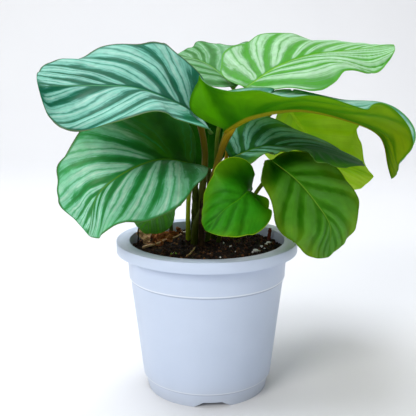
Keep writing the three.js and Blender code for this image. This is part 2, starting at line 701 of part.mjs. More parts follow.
const DRY_LEAF = [-60, 19, 9];
const TAN_STALK = [[-59, -11], [-43, 9], [-25, 33]];
const SPLINTER = [[-18, -32], [-14, -24], [-11, -15]];
const TWIG = { root: [-65.5, 2], via: [[-65.5, 3, 143], [-65, 6, 152]], radius: 0.8 };
const SHEATH = { root: [-5, -6], via: [[-5, -7, 160], [-4, -6, 184]], radius: 2.3 };
const STUB = { root: [61, 27], via: [[61.5, 27, 140], [62, 26, 147]], radius: 1.9 };
const GRAINS = [
  [60, 10, 2.4], [45, -21, 2], [52, 3, 1.8], [22, -8, 1.6], [38, 40, 1.8], [-26, 52, 2.2], [-30, -28, 1.7],
];

/** A short stem that stands in a hole in the soil. */
function standing({ root, via, radius }, flatness = 1) {
  const [x, y] = root;
  const curve = new THREE.CatmullRomCurve3([
    new THREE.Vector3(x, y, SOIL_Z - ROOT_DEPTH),
    new THREE.Vector3(x, y, SOIL_Z + 3),
    ...via.map(vec),
  ], false, 'centripetal');
  return tube(curve, (u) => radius * (1 - 0.25 * u), 10, 6, flatness);
}

// ---------------------------------------------------------------- assembly

const plant = new THREE.Group();
plant.name = 'potted_calathea';

plant.add(piece('pot', potGeometry(), 'pot'));

const holes = LEAVES.map(({ stalk }) => {
  const { root: [x, y], thickness = 2.1 } = stalk;
  return { x, y, r: thickness + 1.1 };
});
for (const { root: [x, y], radius } of [TWIG, SHEATH, STUB]) {
  holes.push({ x, y, r: radius });
}
plant.add(piece('soil', soilGeometry(holes), 'soil'));

for (const leaf of LEAVES) {
  plant.add(piece(`leaf_${leaf.name}`, bladeGeometry(leaf), leaf.finish));
  plant.add(piece(`stalk_${leaf.name}`, stalkGeometry(leaf), leaf.stalkFinish));
}

plant.add(piece('dry_sheath', standing(SHEATH, 0.6), 'dry'));
plant.add(piece('cut_stub', standing(STUB), 'redStalk'));
plant.add(piece('twig', standing(TWIG), 'twig'));
plant.add(piece('dry_leaf', dryLeafGeometry(), 'dry'));
plant.add(piece('tan_stalk', lyingGeometry(TAN_STALK, 1.1), 'tan'));
plant.add(piece('splinter', lyingGeometry(SPLINTER, 0.9), 'tan'));
GRAINS.forEach((grain, i) => {
  plant.add(piece(`perlite_${i + 1}`, grainGeometry(grain), 'perlite'));
});

export default plant;
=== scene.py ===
"""The potted calathea, dressed: leaf blades with their veins, stalks, potting mix, litter and pot.

Sizes are in millimetres in the values below, and every mesh is written in metres. +Z is up, and the
camera of the photograph looks along +Y, with +X to the right.
"""

import logging
import math
from collections.abc import Callable, Sequence
from dataclasses import dataclass, fields
from enum import Enum

import bpy
import numpy as np
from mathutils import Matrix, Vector, noise


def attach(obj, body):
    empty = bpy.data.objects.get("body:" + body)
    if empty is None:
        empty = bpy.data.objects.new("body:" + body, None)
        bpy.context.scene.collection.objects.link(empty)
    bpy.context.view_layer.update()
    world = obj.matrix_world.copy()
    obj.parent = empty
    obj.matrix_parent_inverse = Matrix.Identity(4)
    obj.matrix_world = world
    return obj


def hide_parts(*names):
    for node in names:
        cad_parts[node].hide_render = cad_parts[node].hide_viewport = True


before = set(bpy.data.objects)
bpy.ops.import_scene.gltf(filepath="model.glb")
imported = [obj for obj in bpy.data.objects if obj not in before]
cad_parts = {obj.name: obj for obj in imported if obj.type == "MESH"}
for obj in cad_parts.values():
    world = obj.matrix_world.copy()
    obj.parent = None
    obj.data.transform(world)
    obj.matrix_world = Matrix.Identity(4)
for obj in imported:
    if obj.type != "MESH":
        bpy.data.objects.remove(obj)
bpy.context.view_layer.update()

LOG = logging.getLogger("calathea")
MM = 0.001
MERGE_GAP = 1e-6
BODY = "root"

Spot = tuple[float, float]
Point = tuple[float, float, float]
Array = np.ndarray
Socket = bpy.types.NodeSocket
Material = bpy.types.Material
Piece = bpy.types.Object


# ---- small mathematics


def unit(vectors: Array) -> Array:
    """Vectors of length one, row by row."""
    return vectors / np.maximum(np.linalg.norm(vectors, axis=-1, keepdims=True), 1e-12)


def smooth(value: Array | float, low: float, high: float) -> Array:
    """A smooth step from 0 at low to 1 at high."""
    x = np.clip((np.asarray(value, float) - low) / (high - low), 0, 1)
    return x * x * (3 - 2 * x)


def three(values: Sequence[float], u: Array) -> Array:
    """A smooth curve over u through values at the start, the middle and the end."""
    a, b, c = values
    return a * (1 - u) * (1 - 2 * u) + 4 * b * u * (1 - u) + c * u * (2 * u - 1)


def padded(points: Array) -> Array:
    """Points with one more straight on at either end."""
    return np.vstack([2 * points[0] - points[1], points, 2 * points[-1] - points[-2]])


def cubic(b: Array, c: Array, start: Array, stop: Array, w: Array) -> tuple[Array, Array]:
    """Places and directions at shares w of a cubic from b to c, with its directions at both ends."""
    square, cube = 3 * (c - b) - 2 * start - stop, 2 * (b - c) + start + stop
    return b + start * w + square * w**2 + cube * w**3, start + 2 * square * w + 3 * cube * w**2


def spline(points: Array, u: Array) -> tuple[Array, Array]:
    """A uniform curve through points.

    Args:
        points: The points that the curve passes through.
        u: Where to read it, from 0 at the first point to 1 at the last.

    Returns:
        The places on the curve and its directions there, not of length one.
    """
    last = len(points) - 1
    place = np.asarray(u, float) * last
    i = np.clip(np.floor(place).astype(int), 0, last - 1)
    around = padded(points)
    a, b, c, d = around[i], around[i + 1], around[i + 2], around[i + 3]
    return cubic(b, c, (c - a) / 2, (d - b) / 2, (place - i)[:, None])


def waves(values: Sequence[float], t: Array, end: float) -> Array:
    """A smooth curve over t through even values, with end at both ends."""
    table = np.array([[end], *[[v] for v in values], [end]], float)
    return spline(table, np.clip(t, 0, 1))[0][:, 0]


def route(points: Sequence[Point], count: int) -> Array:
    """Even places along a rounded route that doesn't overshoot its corners.

    Args:
        points: The points that the route passes through.
        count: How many places are wanted.

    Returns:
        The places, from the first point to the last.
    """
    knots = np.array(points, float)
    around = padded(knots)
    steps = np.sqrt(np.linalg.norm(np.diff(around, axis=0), axis=1))
    dense = [knots[:1]]
    for i in range(len(knots) - 1):
        a, b, c, d = around[i : i + 4]
        da, db, dc = steps[i : i + 3]
        start = ((b - a) / da - (c - a) / (da + db) + (c - b) / db) * db
        stop = ((c - b) / db - (d - b) / (db + dc) + (d - c) / dc) * db
        dense.append(cubic(b, c, start, stop, np.linspace(0, 1, 25)[1:, None])[0])
    fine = np.vstack(dense)
    length = np.concatenate([[0], np.cumsum(np.linalg.norm(np.diff(fine, axis=0), axis=1))])
    even = np.linspace(0, length[-1], count)
    return np.stack([np.interp(even, length, fine[:, k]) for k in range(3)], axis=1)


# ---- mesh work


def pick(*pieces: Piece) -> None:
    """Selects only these pieces, with the first of them, if any, as the active one.

    Args:
        pieces: The pieces to select.
    """
    bpy.ops.object.select_all(action="DESELECT")
    for piece in pieces:
        piece.select_set(True)
    if pieces:
        bpy.context.view_layer.objects.active = pieces[0]


def begun(name: str, add: Callable[..., object], **settings: object) -> Piece:
    """Starts a piece from a primitive.

    Args:
        name: The piece's name.
        add: The operator that adds the primitive.
        settings: The operator's own settings.

    Returns:
        The piece.
    """
    pick()
    add(**settings)
    piece = bpy.context.active_object
    piece.name = piece.data.name = name
    return piece


def edit(piece: Piece, step: Callable[..., object], **settings: object) -> None:
    """Runs an edit-mode operator, with its own settings, on all of a piece.

    Args:
        piece: The piece to work on.
        step: The operator.
        settings: The operator's own settings.
    """
    pick(piece)
    bpy.ops.object.mode_set(mode="EDIT")
    bpy.ops.mesh.select_all(action="SELECT")
    step(**settings)
    bpy.ops.object.mode_set(mode="OBJECT")


def merged(piece: Piece) -> None:
    """Joins the points of a piece that lie together."""
    edit(piece, bpy.ops.mesh.remove_doubles, threshold=MERGE_GAP)


def outward(piece: Piece) -> None:
    """Turns the faces of a closed piece outward."""
    edit(piece, bpy.ops.mesh.normals_make_consistent, inside=False)


def modified(piece: Piece, kind: str, **settings: object) -> None:
    """Adds a modifier of a kind, with its own settings, to a piece and applies it.

    Args:
        piece: The piece to change.
        kind: The modifier's type.
        settings: The modifier's own settings.
    """
    pick(piece)
    modifier = piece.modifiers.new(kind.title(), kind)
    for name, value in settings.items():
        setattr(modifier, name, value)
    bpy.ops.object.modifier_apply(modifier=modifier.name)


def softened(piece: Piece, degrees: float) -> None:
    """Shades a piece smooth, apart from edges sharper than an angle."""
    pick(piece)
    bpy.ops.object.shade_smooth_by_angle(angle=math.radians(degrees))


def joined(pieces: Sequence[Piece], name: str) -> Piece:
    """Joins pieces into the first of them, with its place in its mesh, and names it.

    Args:
        pieces: The pieces to join.
        name: The joined piece's name.

    Returns:
        The joined piece.
    """
    pick(*pieces)
    bpy.ops.object.join()
    bpy.ops.object.transform_apply(location=True, rotation=True, scale=True)
    pieces[0].name = pieces[0].data.name = name
    return pieces[0]


def points_of(piece: Piece) -> Array:
    """The points of a piece's mesh, row by row."""
    flat = np.empty(3 * len(piece.data.vertices), np.float32)
    piece.data.vertices.foreach_get("co", flat)
    return flat.reshape(-1, 3).astype(float)


def place_points(piece: Piece, points: Array) -> None:
    """Writes the points of a piece's mesh, given in metres."""
    piece.data.vertices.foreach_set("co", points.astype(np.float32).ravel())
    piece.data.update()


def corners_of(mesh: bpy.types.Mesh) -> Array:
    """The point of each corner of a mesh."""
    corner = np.empty(len(mesh.loops), np.int32)
    mesh.loops.foreach_get("vertex_index", corner)
    return corner


def place_uv(mesh: bpy.types.Mesh, uv: Array) -> None:
    """Writes the UV map of a mesh, corner by corner."""
    mesh.uv_layers.active.data.foreach_set("uv", uv.astype(np.float32).ravel())


def sheet(name: str, rows: int, columns: int, place: Callable[[Array, Array], Array]) -> Piece:
    """A grid that is drawn over a surface, with its two directions as its UV map.

    Args:
        name: The piece's name.
        rows: Faces along the first direction.
        columns: Faces along the second direction.
        place: Gives places in millimetres for values from 0 to 1 along and from -1 to 1 across.

    Returns:
        The piece, with the points merged where the grid closes on itself.
    """
    add = bpy.ops.mesh.primitive_grid_add
    piece = begun(name, add, x_subdivisions=rows, y_subdivisions=columns, size=2)
    flat = points_of(piece)
    along, across = (flat[:, 0] + 1) / 2, -flat[:, 1]
    place_points(piece, place(along, across) * MM)
    corner = corners_of(piece.data)
    place_uv(piece.data, np.stack([along[corner], (across[corner] + 1) / 2], axis=1))
    merged(piece)
    return piece


def tube(name: str, line: Array, radii: Array, sides: int, flat: float = 1.0) -> Piece:
    """A closed tube along a line, rounded at both ends, with a UV map along and around it.

    Args:
        name: The piece's name.
        line: Places along the middle, in millimetres.
        radii: The radius at each place.
        sides: Faces around the tube.
        flat: The share of the radius that is kept on one of its two sides.

    Returns:
        The tube.
    """
    rows = len(line) - 1
    forward = unit(np.gradient(line, axis=0))
    normal = np.zeros_like(line)
    start = np.array([0.0, -1.0, 0.0]) if abs(forward[0, 1]) < 0.9 else np.array([1.0, 0, 0])
    for i in range(rows + 1):
        start = start - forward[i] * (start @ forward[i])
        start = normal[i] = start / np.linalg.norm(start)
    side = np.cross(forward, normal)

    def place(along: Array, across: Array) -> Array:
        """Places on the tube for values along and around it."""
        row = np.rint(along * rows).astype(int)
        angle = (math.pi * across)[:, None]
        reach = radii[row][:, None]
        return line[row] + (np.cos(angle) * reach * flat * normal[row] + np.sin(angle) * reach * side[row])

    piece = sheet(name, rows, sides, place)
    outward(piece)
    softened(piece, 60)
    return piece


def capped(radii: Array, steps: int = 2) -> Array:
    """The radii of a tube with its first and last steps rounded down to nothing.

    Args:
        radii: The radius at each place.
        steps: How many places at either end are rounded down.

    Returns:
        The rounded radii.
    """
    out = radii.copy()
    for i in range(steps + 1):
        share = math.sin(math.pi / 2 * i / (steps + 0.5))
        out[i] *= share
        out[-1 - i] *= share
    return out


def dressed(piece: Piece, slot: str, materials: Sequence[Material], *nodes: str) -> None:
    """Finishes a piece.

    Args:
        piece: The piece.
        slot: The material slot of the part that it shows; not used.
        materials: What it is made of.
        nodes: The nodes of the CAD that it stands for.
    """
    for material in materials:
        piece.data.materials.append(material)
    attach(piece, BODY)
    if nodes:
        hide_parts(*nodes)
    LOG.info("%s: %d faces", piece.name, len(piece.data.polygons))


# ---- material work


def linear(code: str) -> tuple[float, float, float, float]:
    """The colour of a six-figure code, as the renderer counts light."""
    parts = [int(code[i : i + 2], 16) / 255 for i in (0, 2, 4)]
    return (*[p / 12.92 if p <= 0.04045 else ((p + 0.055) / 1.055) ** 2.4 for p in parts], 1.0)


class Wiring:
    """Adds nodes to one node tree and joins them. Colours are given as six-figure codes."""

    def __init__(self, tree: bpy.types.NodeTree) -> None:
        """Takes the tree to work on."""
        self.tree = tree

    def add(
        self, kind: str, inputs: dict[object, object] | None = None, **settings: object
    ) -> bpy.types.Node:
        """Adds a node.

        Args:
            kind: The node's type without its first word.
            inputs: What each input is joined to or set to.
            settings: The node's own settings.

        Returns:
            The node.
        """
        node = self.tree.nodes.new("ShaderNode" + kind)
        for name, value in settings.items():
            setattr(node, name, value)
        for key, value in (inputs or {}).items():
            self.feed(node.inputs[key], value)
        return node

    def feed(self, socket: Socket, value: object) -> None:
        """Joins an input to a socket, or sets it to a value.

        Args:
            socket: The input.
            value: A socket, a number, a vector or the code of a colour.
        """
        if isinstance(value, bpy.types.NodeSocket):
            self.tree.links.new(value, socket)
        else:
            socket.default_value = linear(value) if isinstance(value, str) else value

    def math(self, operation: str, *values: object, clamp: bool = False) -> Socket:
        """The result of a sum on one to three values."""
        return self.add("Math", dict(enumerate(values)), operation=operation, use_clamp=clamp).outputs[0]

    def times(self, first: object, second: object, clamp: bool = False) -> Socket:
        """A product."""
        return self.math("MULTIPLY", first, second, clamp=clamp)

    def minus(self, first: object, second: object) -> Socket:
        """A difference."""
        return self.math("SUBTRACT", first, second)

    def sum(self, value: object, factor: object, more: object, clamp: bool = False) -> Socket:
        """A value times a factor, and something more."""
        return self.math("MULTIPLY_ADD", value, factor, more, clamp=clamp)

    def step(self, value: Socket, low: object, high: object) -> Socket:
        """A smooth step from 0 at low to 1 at high."""
        inputs = {"Value": value, "From Min": low, "From Max": high}
        return self.add("MapRange", inputs, interpolation_type="SMOOTHSTEP").outputs[0]

    def fall(self, value: Socket, low: object, high: object) -> Socket:
        """A smooth step from 1 at low down to 0 at high."""
        return self.minus(1.0, self.step(value, low, high))

    def span(self, value: Socket, low: float, high: float, out_low: float, out_high: float) -> Socket:
        """A value moved from one range to another, and held inside it."""
        inputs = {"Value": value, "From Min": low, "From Max": high, "To Min": out_low, "To Max": out_high}
        return self.add("MapRange", inputs).outputs[0]

    def mix(self, share: object, first: object, second: object, blend: str = "MIX") -> Socket:
        """A colour between two colours."""
        inputs = {0: share, 6: first, 7: second}
        return self.add("Mix", inputs, data_type="RGBA", blend_type=blend).outputs[2]

    def shaded(self, colour: Socket, *values: Socket) -> Socket:
        """A colour times the product of two values.

        Args:
            colour: The colour.
            values: The two values.

        Returns:
            The shaded colour.
        """
        value = self.times(*values)
        grey = self.add("CombineColor", {i: value for i in range(3)}).outputs[0]
        return self.mix(1.0, colour, grey, "MULTIPLY")

    def noise(self, place: Socket, scale: float, detail: float = 3, rough: float = 0.55) -> Socket:
        """Noise from 0 to 1 over a place."""
        inputs = {"Vector": place, "Scale": scale, "Detail": detail, "Roughness": rough}
        return self.add("TexNoise", inputs).outputs[0]

    def place(self, kind: str = "Object") -> Socket:
        """The place on the object in metres, or with the kind UV on the piece's own map."""
        return self.add("TexCoord").outputs[kind]

    def drawn_out(self, scale: Point) -> Socket:
        """The place on the object, scaled by a number for each direction."""
        return self.add("Mapping", {"Vector": self.place(), "Scale": scale}).outputs[0]

    def parts(self, vector: Socket) -> bpy.types.NodeOutputs:
        """The parts of a vector."""
        return self.add("SeparateXYZ", {0: vector}).outputs

    def pair(self, first: Socket, second: Socket) -> Socket:
        """A vector of two values."""
        return self.add("CombineXYZ", {0: first, 1: second}).outputs[0]

    def bump(self, height: Socket, distance: float, strength: float) -> Socket:
        """A normal from a height in units of a distance in metres."""
        inputs = {"Height": height, "Distance": distance, "Strength": strength}
        return self.add("Bump", inputs).outputs[0]


class Paint(Wiring):
    """The wiring of a new material around its Principled shader."""

    def __init__(self, name: str, specular: float = 0.5) -> None:
        """Makes the material, with a name and a specular level.

        Args:
            name: The material's name.
            specular: Its specular level.
        """
        self.material = bpy.data.materials.new(name)
        self.material.use_nodes = True
        super().__init__(self.material.node_tree)
        self.tree.nodes.clear()
        self.shader = self.add("BsdfPrincipled", {"Specular IOR Level": specular})
        self.output = self.add("OutputMaterial", {"Surface": self.shader.outputs[0]})

    def lit_through(self, colour: Socket, share: float, normal: Socket) -> None:
        """Lets a share of the light through, in a colour.

        Args:
            colour: The colour of the light that comes through.
            share: How much of the surface lets light through.
            normal: The surface's normal.
        """
        through = self.add("BsdfTranslucent", {"Color": colour, "Normal": normal})
        both = self.add("MixShader", {0: share, 1: self.shader.outputs[0], 2: through.outputs[0]})
        self.feed(self.output.inputs["Surface"], both.outputs[0])

    def done(self, colour: Socket, rough: object, normal: Socket | None = None) -> Material:
        """The material, once its shader has its colour, roughness and normal.

        Args:
            colour: The shader's colour.
            rough: Its roughness.
            normal: Its normal, if it has one of its own.

        Returns:
            The material.
        """
        for key, value in {"Base Color": colour, "Roughness": rough, "Normal": normal}.items():
            if value is not None:
                self.feed(self.shader.inputs[key], value)
        return self.material


# ---- leaf patterns


BUNCHING = 0.16
EARLY_POWER = 0.8
LATE_POWER = 5.0
TIP_POWER = 5.0


@dataclass(frozen=True)
class Veins:
    """How the bands of one half of a blade run.

    slant says how flat a side vein leaves the midrib towards the tip, late says how much flatter it
    runs along the edge, the fifth value is the share next to the base that is painted in shade, with
    no pale bands, last is where they fade out towards the tip, and tip is how many bands more crowd the tip.
    """

    bands: float = 6.0
    phase: float = 0.0
    slant: float = 0.9
    late: float = 0.1
    bare: float = 0.0
    last: float = 1.2
    tip: float = 1.6

    def band(self, t: Array, away: Array) -> Array:
        """Which band a place lies in: whole numbers are the dark veins.

        Args:
            t: The place along the blade, following its rows.
            away: The place across, from the midrib (0) to the edge (1).

        Returns:
            The band number, with its share.
        """
        flat = 1 + self.slant * away**EARLY_POWER + self.late * away**LATE_POWER
        begin = 1 - np.clip(1 - t, 1e-6, 1) ** (1 / flat)
        even = self.bands * begin + self.tip * begin**TIP_POWER + self.phase
        return even + BUNCHING * np.sin(2.3 * even + 1)


# The colour of the painted highlights inside the pale bands.
PAINTED_HIGHLIGHT = "eafff4"
VEIN_VALUES = tuple(field.name for field in fields(Veins))
VEIN_MASKS = ("Pale", "Painted highlight", "Line", "Rib", "Margin", "Streak", "Side", "Away", "Along", "Band", "Bare")


def vein_group() -> bpy.types.NodeTree:
    """Builds the group that reads a blade's UV map and puts out the masks of its pattern.

    Returns:
        The group: pale bands, the painted highlights and the fine lines inside them, the midrib, the
        margin, streaks along the veins, the side of the midrib, the places across and along, the bands
        without an end, and the base that is painted in shade.
    """
    tree = bpy.data.node_groups.new("side veins", "ShaderNodeTree")
    inputs = {f"{half} {key}": getattr(Veins(), key) for half in ("Left", "Right") for key in VEIN_VALUES}
    for key, value in (inputs | {"Inner width": 0.45, "Outer width": 0.85}).items():
        socket = tree.interface.new_socket(key, in_out="INPUT", socket_type="NodeSocketFloat")
        socket.default_value = value
    for key in VEIN_MASKS:
        tree.interface.new_socket(key, in_out="OUTPUT", socket_type="NodeSocketFloat")
    w = Wiring(tree)
    given, end = tree.nodes.new("NodeGroupInput").outputs, tree.nodes.new("NodeGroupOutput")
    t, over, _ = w.parts(w.place("UV"))
    signed = w.sum(over, 2.0, -1.0)
    across, right = w.math("ABSOLUTE", signed), w.math("GREATER_THAN", signed, 0.0)
    own = {}
    for key in VEIN_VALUES:
        left = given[f"Left {key}"]
        own[key] = w.sum(right, w.minus(given[f"Right {key}"], left), left)
    flat = w.sum(w.math("POWER", across, EARLY_POWER), own["slant"], 1.0)
    flat = w.sum(w.math("POWER", across, LATE_POWER), own["late"], flat)
    rest = w.math("MAXIMUM", w.minus(1.0, t), 1e-6)
    begin = w.minus(1.0, w.math("POWER", rest, w.math("DIVIDE", 1.0, flat)))
    even = w.sum(begin, own["bands"], own["phase"])
    even = w.sum(w.math("POWER", begin, TIP_POWER), own["tip"], even)
    band = w.sum(w.math("SINE", w.sum(even, 2.3, 1.0)), BUNCHING, even)
    wobble = w.minus(w.noise(w.pair(band, w.times(signed, 2.2)), 2.2, 3), 0.5)
    streak = w.noise(w.pair(w.times(band, 9.0), w.times(signed, 1.4)), 1.6, 4, 0.66)
    centre = w.math("ABSOLUTE", w.sum(w.math("FRACT", w.sum(wobble, 0.3, band)), 2.0, -1.0))
    edge = w.sum(w.minus(streak, 0.5), 0.7, centre)
    opened = w.math("POWER", w.times(across, 9.0, clamp=True), 0.5)
    gain = w.times(w.minus(given["Outer width"], given["Inner width"]), across)
    width = w.times(opened, w.math("ADD", given["Inner width"], gain))
    soft = w.sum(across, -0.08, 0.24)
    inside = w.fall(edge, w.minus(width, soft), w.math("ADD", width, soft))
    # Painted shade next to the base: the pale bands are left out there.
    outside_shade = w.step(t, own["bare"], w.math("ADD", own["bare"], 0.14))
    clear = w.times(w.step(across, 0.01, 0.05), w.fall(across, 0.95, 0.985))
    ends = w.times(w.times(w.fall(t, 0.97, 0.999), clear), outside_shade)
    ends = w.times(ends, w.fall(t, own["last"], w.math("ADD", own["last"], 0.3)))
    pale = w.times(inside, ends, clamp=True)
    # Painted highlight: a near-white strip in the middle of each pale band, where the streaks are strong.
    strip = w.times(w.step(centre, 0.08, 0.2), w.fall(centre, 0.34, 0.6))
    painted_highlight = w.times(w.times(strip, pale), w.step(streak, 0.4, 0.62), clamp=True)
    faint = w.times(w.fall(w.math("ABSOLUTE", w.minus(centre, 0.5)), 0.01, 0.07), 0.5)
    line = w.math("MAXIMUM", w.fall(centre, 0.03, 0.1), faint)
    line = w.times(line, w.step(across, 0.06, 0.25), clamp=True)
    rib = w.fall(across, w.sum(t, -0.006, 0.011), w.sum(t, -0.014, 0.03))
    margin, bare = w.step(across, 0.97, 0.99), w.minus(1.0, outside_shade)
    masks = (pale, painted_highlight, line, rib, margin, streak, right, across, t, inside, bare)
    for name, value in zip(VEIN_MASKS, masks):
        w.feed(end.inputs[name], value)
    return tree


@dataclass(frozen=True)
class LeafFinish:
    """How a blade looks: colours as six-figure codes, and the shares of its pattern."""

    dark: str
    pale: str
    rib: str
    margin: str
    line: str
    glow: str
    under: str
    under_band: str
    under_rib: str
    slot: str
    left: Veins = Veins()
    right: Veins = Veins()
    inner_width: float = 0.55
    outer_width: float = 0.85
    pale_share: float = 1.0
    # How much of the painted highlight shows in the pale bands.
    highlight_share: float = 0.5
    line_share: float = 0.65
    fringe: str = ""
    fringe_share: float = 0.5
    through: float = 0.3
    rough: float = 0.42
    shine: float = 0.3
    cloudy: float = 0.2
    # The two colours of the painted shade next to the base.
    bare_dark: str = ""
    bare_light: str = ""
    under_through: float = 0.45
    # A brighter colour for the left half of the lower face, which is painted light.
    under_left: str = ""
    under_tip: str = ""


class Look(Enum):
    """The looks of the plant's leaves, by their age and by the light that meets them."""

    SILVER = LeafFinish(
        "06583e", "8ed8c4", "4f9a68", "5a6a48", "1c705c", "4fae4a", "6d9a3a", "5b8730", "8aa650",
        "leaf_silver", left=Veins(5.6, -0.15, 1.2, 1.0, tip=0.0), right=Veins(6.0, 0.32, 0.9, 0.05),
        inner_width=0.58, outer_width=0.9, highlight_share=0.3, line_share=0.8, through=0.15, shine=0.22,
    )
    STRIPED = LeafFinish(
        "24823a", "b0f8dc", "5f9a24", "4a6a34", "36a05c", "4f9c00", "5f9030", "4f7f28", "86a044",
        "leaf_striped", left=Veins(6.4, -0.1, 1.0, 0.2, 0.08), right=Veins(6.0, -0.2, 0.8, 0.0, 0.38),
        inner_width=0.5, outer_width=0.95, line_share=0.75, fringe="48a860", fringe_share=0.55,
        through=0.22, bare_dark="1a5402", bare_light="3a7c04",
    )
    SMALL = LeafFinish(
        "70d434", "9ce484", "5dac34", "457b1a", "5faa44", "6fb408", "78b830", "5c9c1c", "8aac40",
        "leaf_green", left=Veins(4.5), right=Veins(4.5), pale_share=0.5, highlight_share=0.1,
    )
    BACK = LeafFinish(
        "2a7422", "80be88", "6fac4a", "4d7a3c", "549a58", "6fae2a", "5f9030", "4f7f28", "86a044",
        "leaf_striped", left=Veins(6.4, 0.3, 1.1), right=Veins(7.0, 0.4, 0.85), inner_width=0.5,
        outer_width=0.75, pale_share=0.85, highlight_share=0.3,
    )
    BRIGHT = LeafFinish(
        "48a41c", "c8f6c8", "94cc40", "58a82c", "6cae64", "8ed82a", "6fa31a", "5f9214", "9ab63a",
        "leaf_bright", left=Veins(9.3, 0.0, 0.9, 0.1, tip=0.4),
        right=Veins(11.0, 0.05, 2.3, 3.4, tip=0.0), inner_width=0.5, outer_width=0.82, line_share=0.9,
        through=0.4, shine=0.25,
    )
    ARCHING = LeafFinish(
        "2f8462", "a0d4c4", "6aa67a", "5f9a40", "4f9480", "74c400", "6cbe00", "3c7600", "b08a14",
        "leaf_underside", through=0.4, rough=0.45, under_left="74d400", under_tip="96a40c",
    )
    DARK = LeafFinish(
        "1c6218", "80caac", "4f8a2a", "7aa450", "24603c", "5f9a00", "3a6208", "2f5406", "5a6f14",
        "leaf_dark", left=Veins(9.0, 0.2, 0.8, 0.1, 0.0, 0.55),
        right=Veins(9.0, 0.0, 0.8, 0.1, 0.0, 0.4), outer_width=0.8, highlight_share=0.2, line_share=0.85,
        fringe="5c9c10", fringe_share=0.7, through=0.12, rough=0.62, shine=0.12, cloudy=0.35,
        under_through=0.2,
    )
    PLAIN = LeafFinish(
        "165600", "3c9418", "4a9a0c", "9cc020", "348c14", "5fac00", "4f7f08", "457008", "7a9424",
        "leaf_green", left=Veins(4.0, bare=0.42), right=Veins(4.0, bare=0.42), pale_share=0.5,
        highlight_share=0.0, line_share=0.15, fringe="6fa408", shine=0.08, cloudy=0.9, bare_dark="145000",
        bare_light="1f6800",
    )
    FAINT = LeafFinish(
        "286c00", "94cc90", "84b63a", "6a8c20", "569c28", "6fb000", "4f7f08", "457008", "7a9424",
        "leaf_green", left=Veins(6.0, 0.2, 0.7, bare=0.2), right=Veins(6.0, 0.0, 0.7, bare=0.2),
        inner_width=0.6, outer_width=0.7, pale_share=0.6, highlight_share=0.0, line_share=0.2,
        fringe="86a818", fringe_share=0.6, through=0.25, shine=0.08, cloudy=0.6, bare_dark="0c3c00",
        bare_light="1a5000",
    )
    BACKLIT = LeafFinish(
        "7aac34", "c8e09c", "9fbe5a", "7aaa3c", "6a9a4a", "ccea0e", "90cc00", "84c000", "a4cc2c",
        "leaf_backlit", through=0.5, under_through=0.55, under_left="c4dc58", under_tip="dcec50",
    )
    SHADED = LeafFinish(
        "1a5a00", "2c6a04", "3a7a0c", "3a7010", "1f5c04", "3f8400", "2a5a00", "245200", "4a6a10",
        "leaf_green", pale_share=0.2, highlight_share=0.0, line_share=0.1, through=0.2, rough=0.7,
        shine=0.05, under_through=0.2,
    )


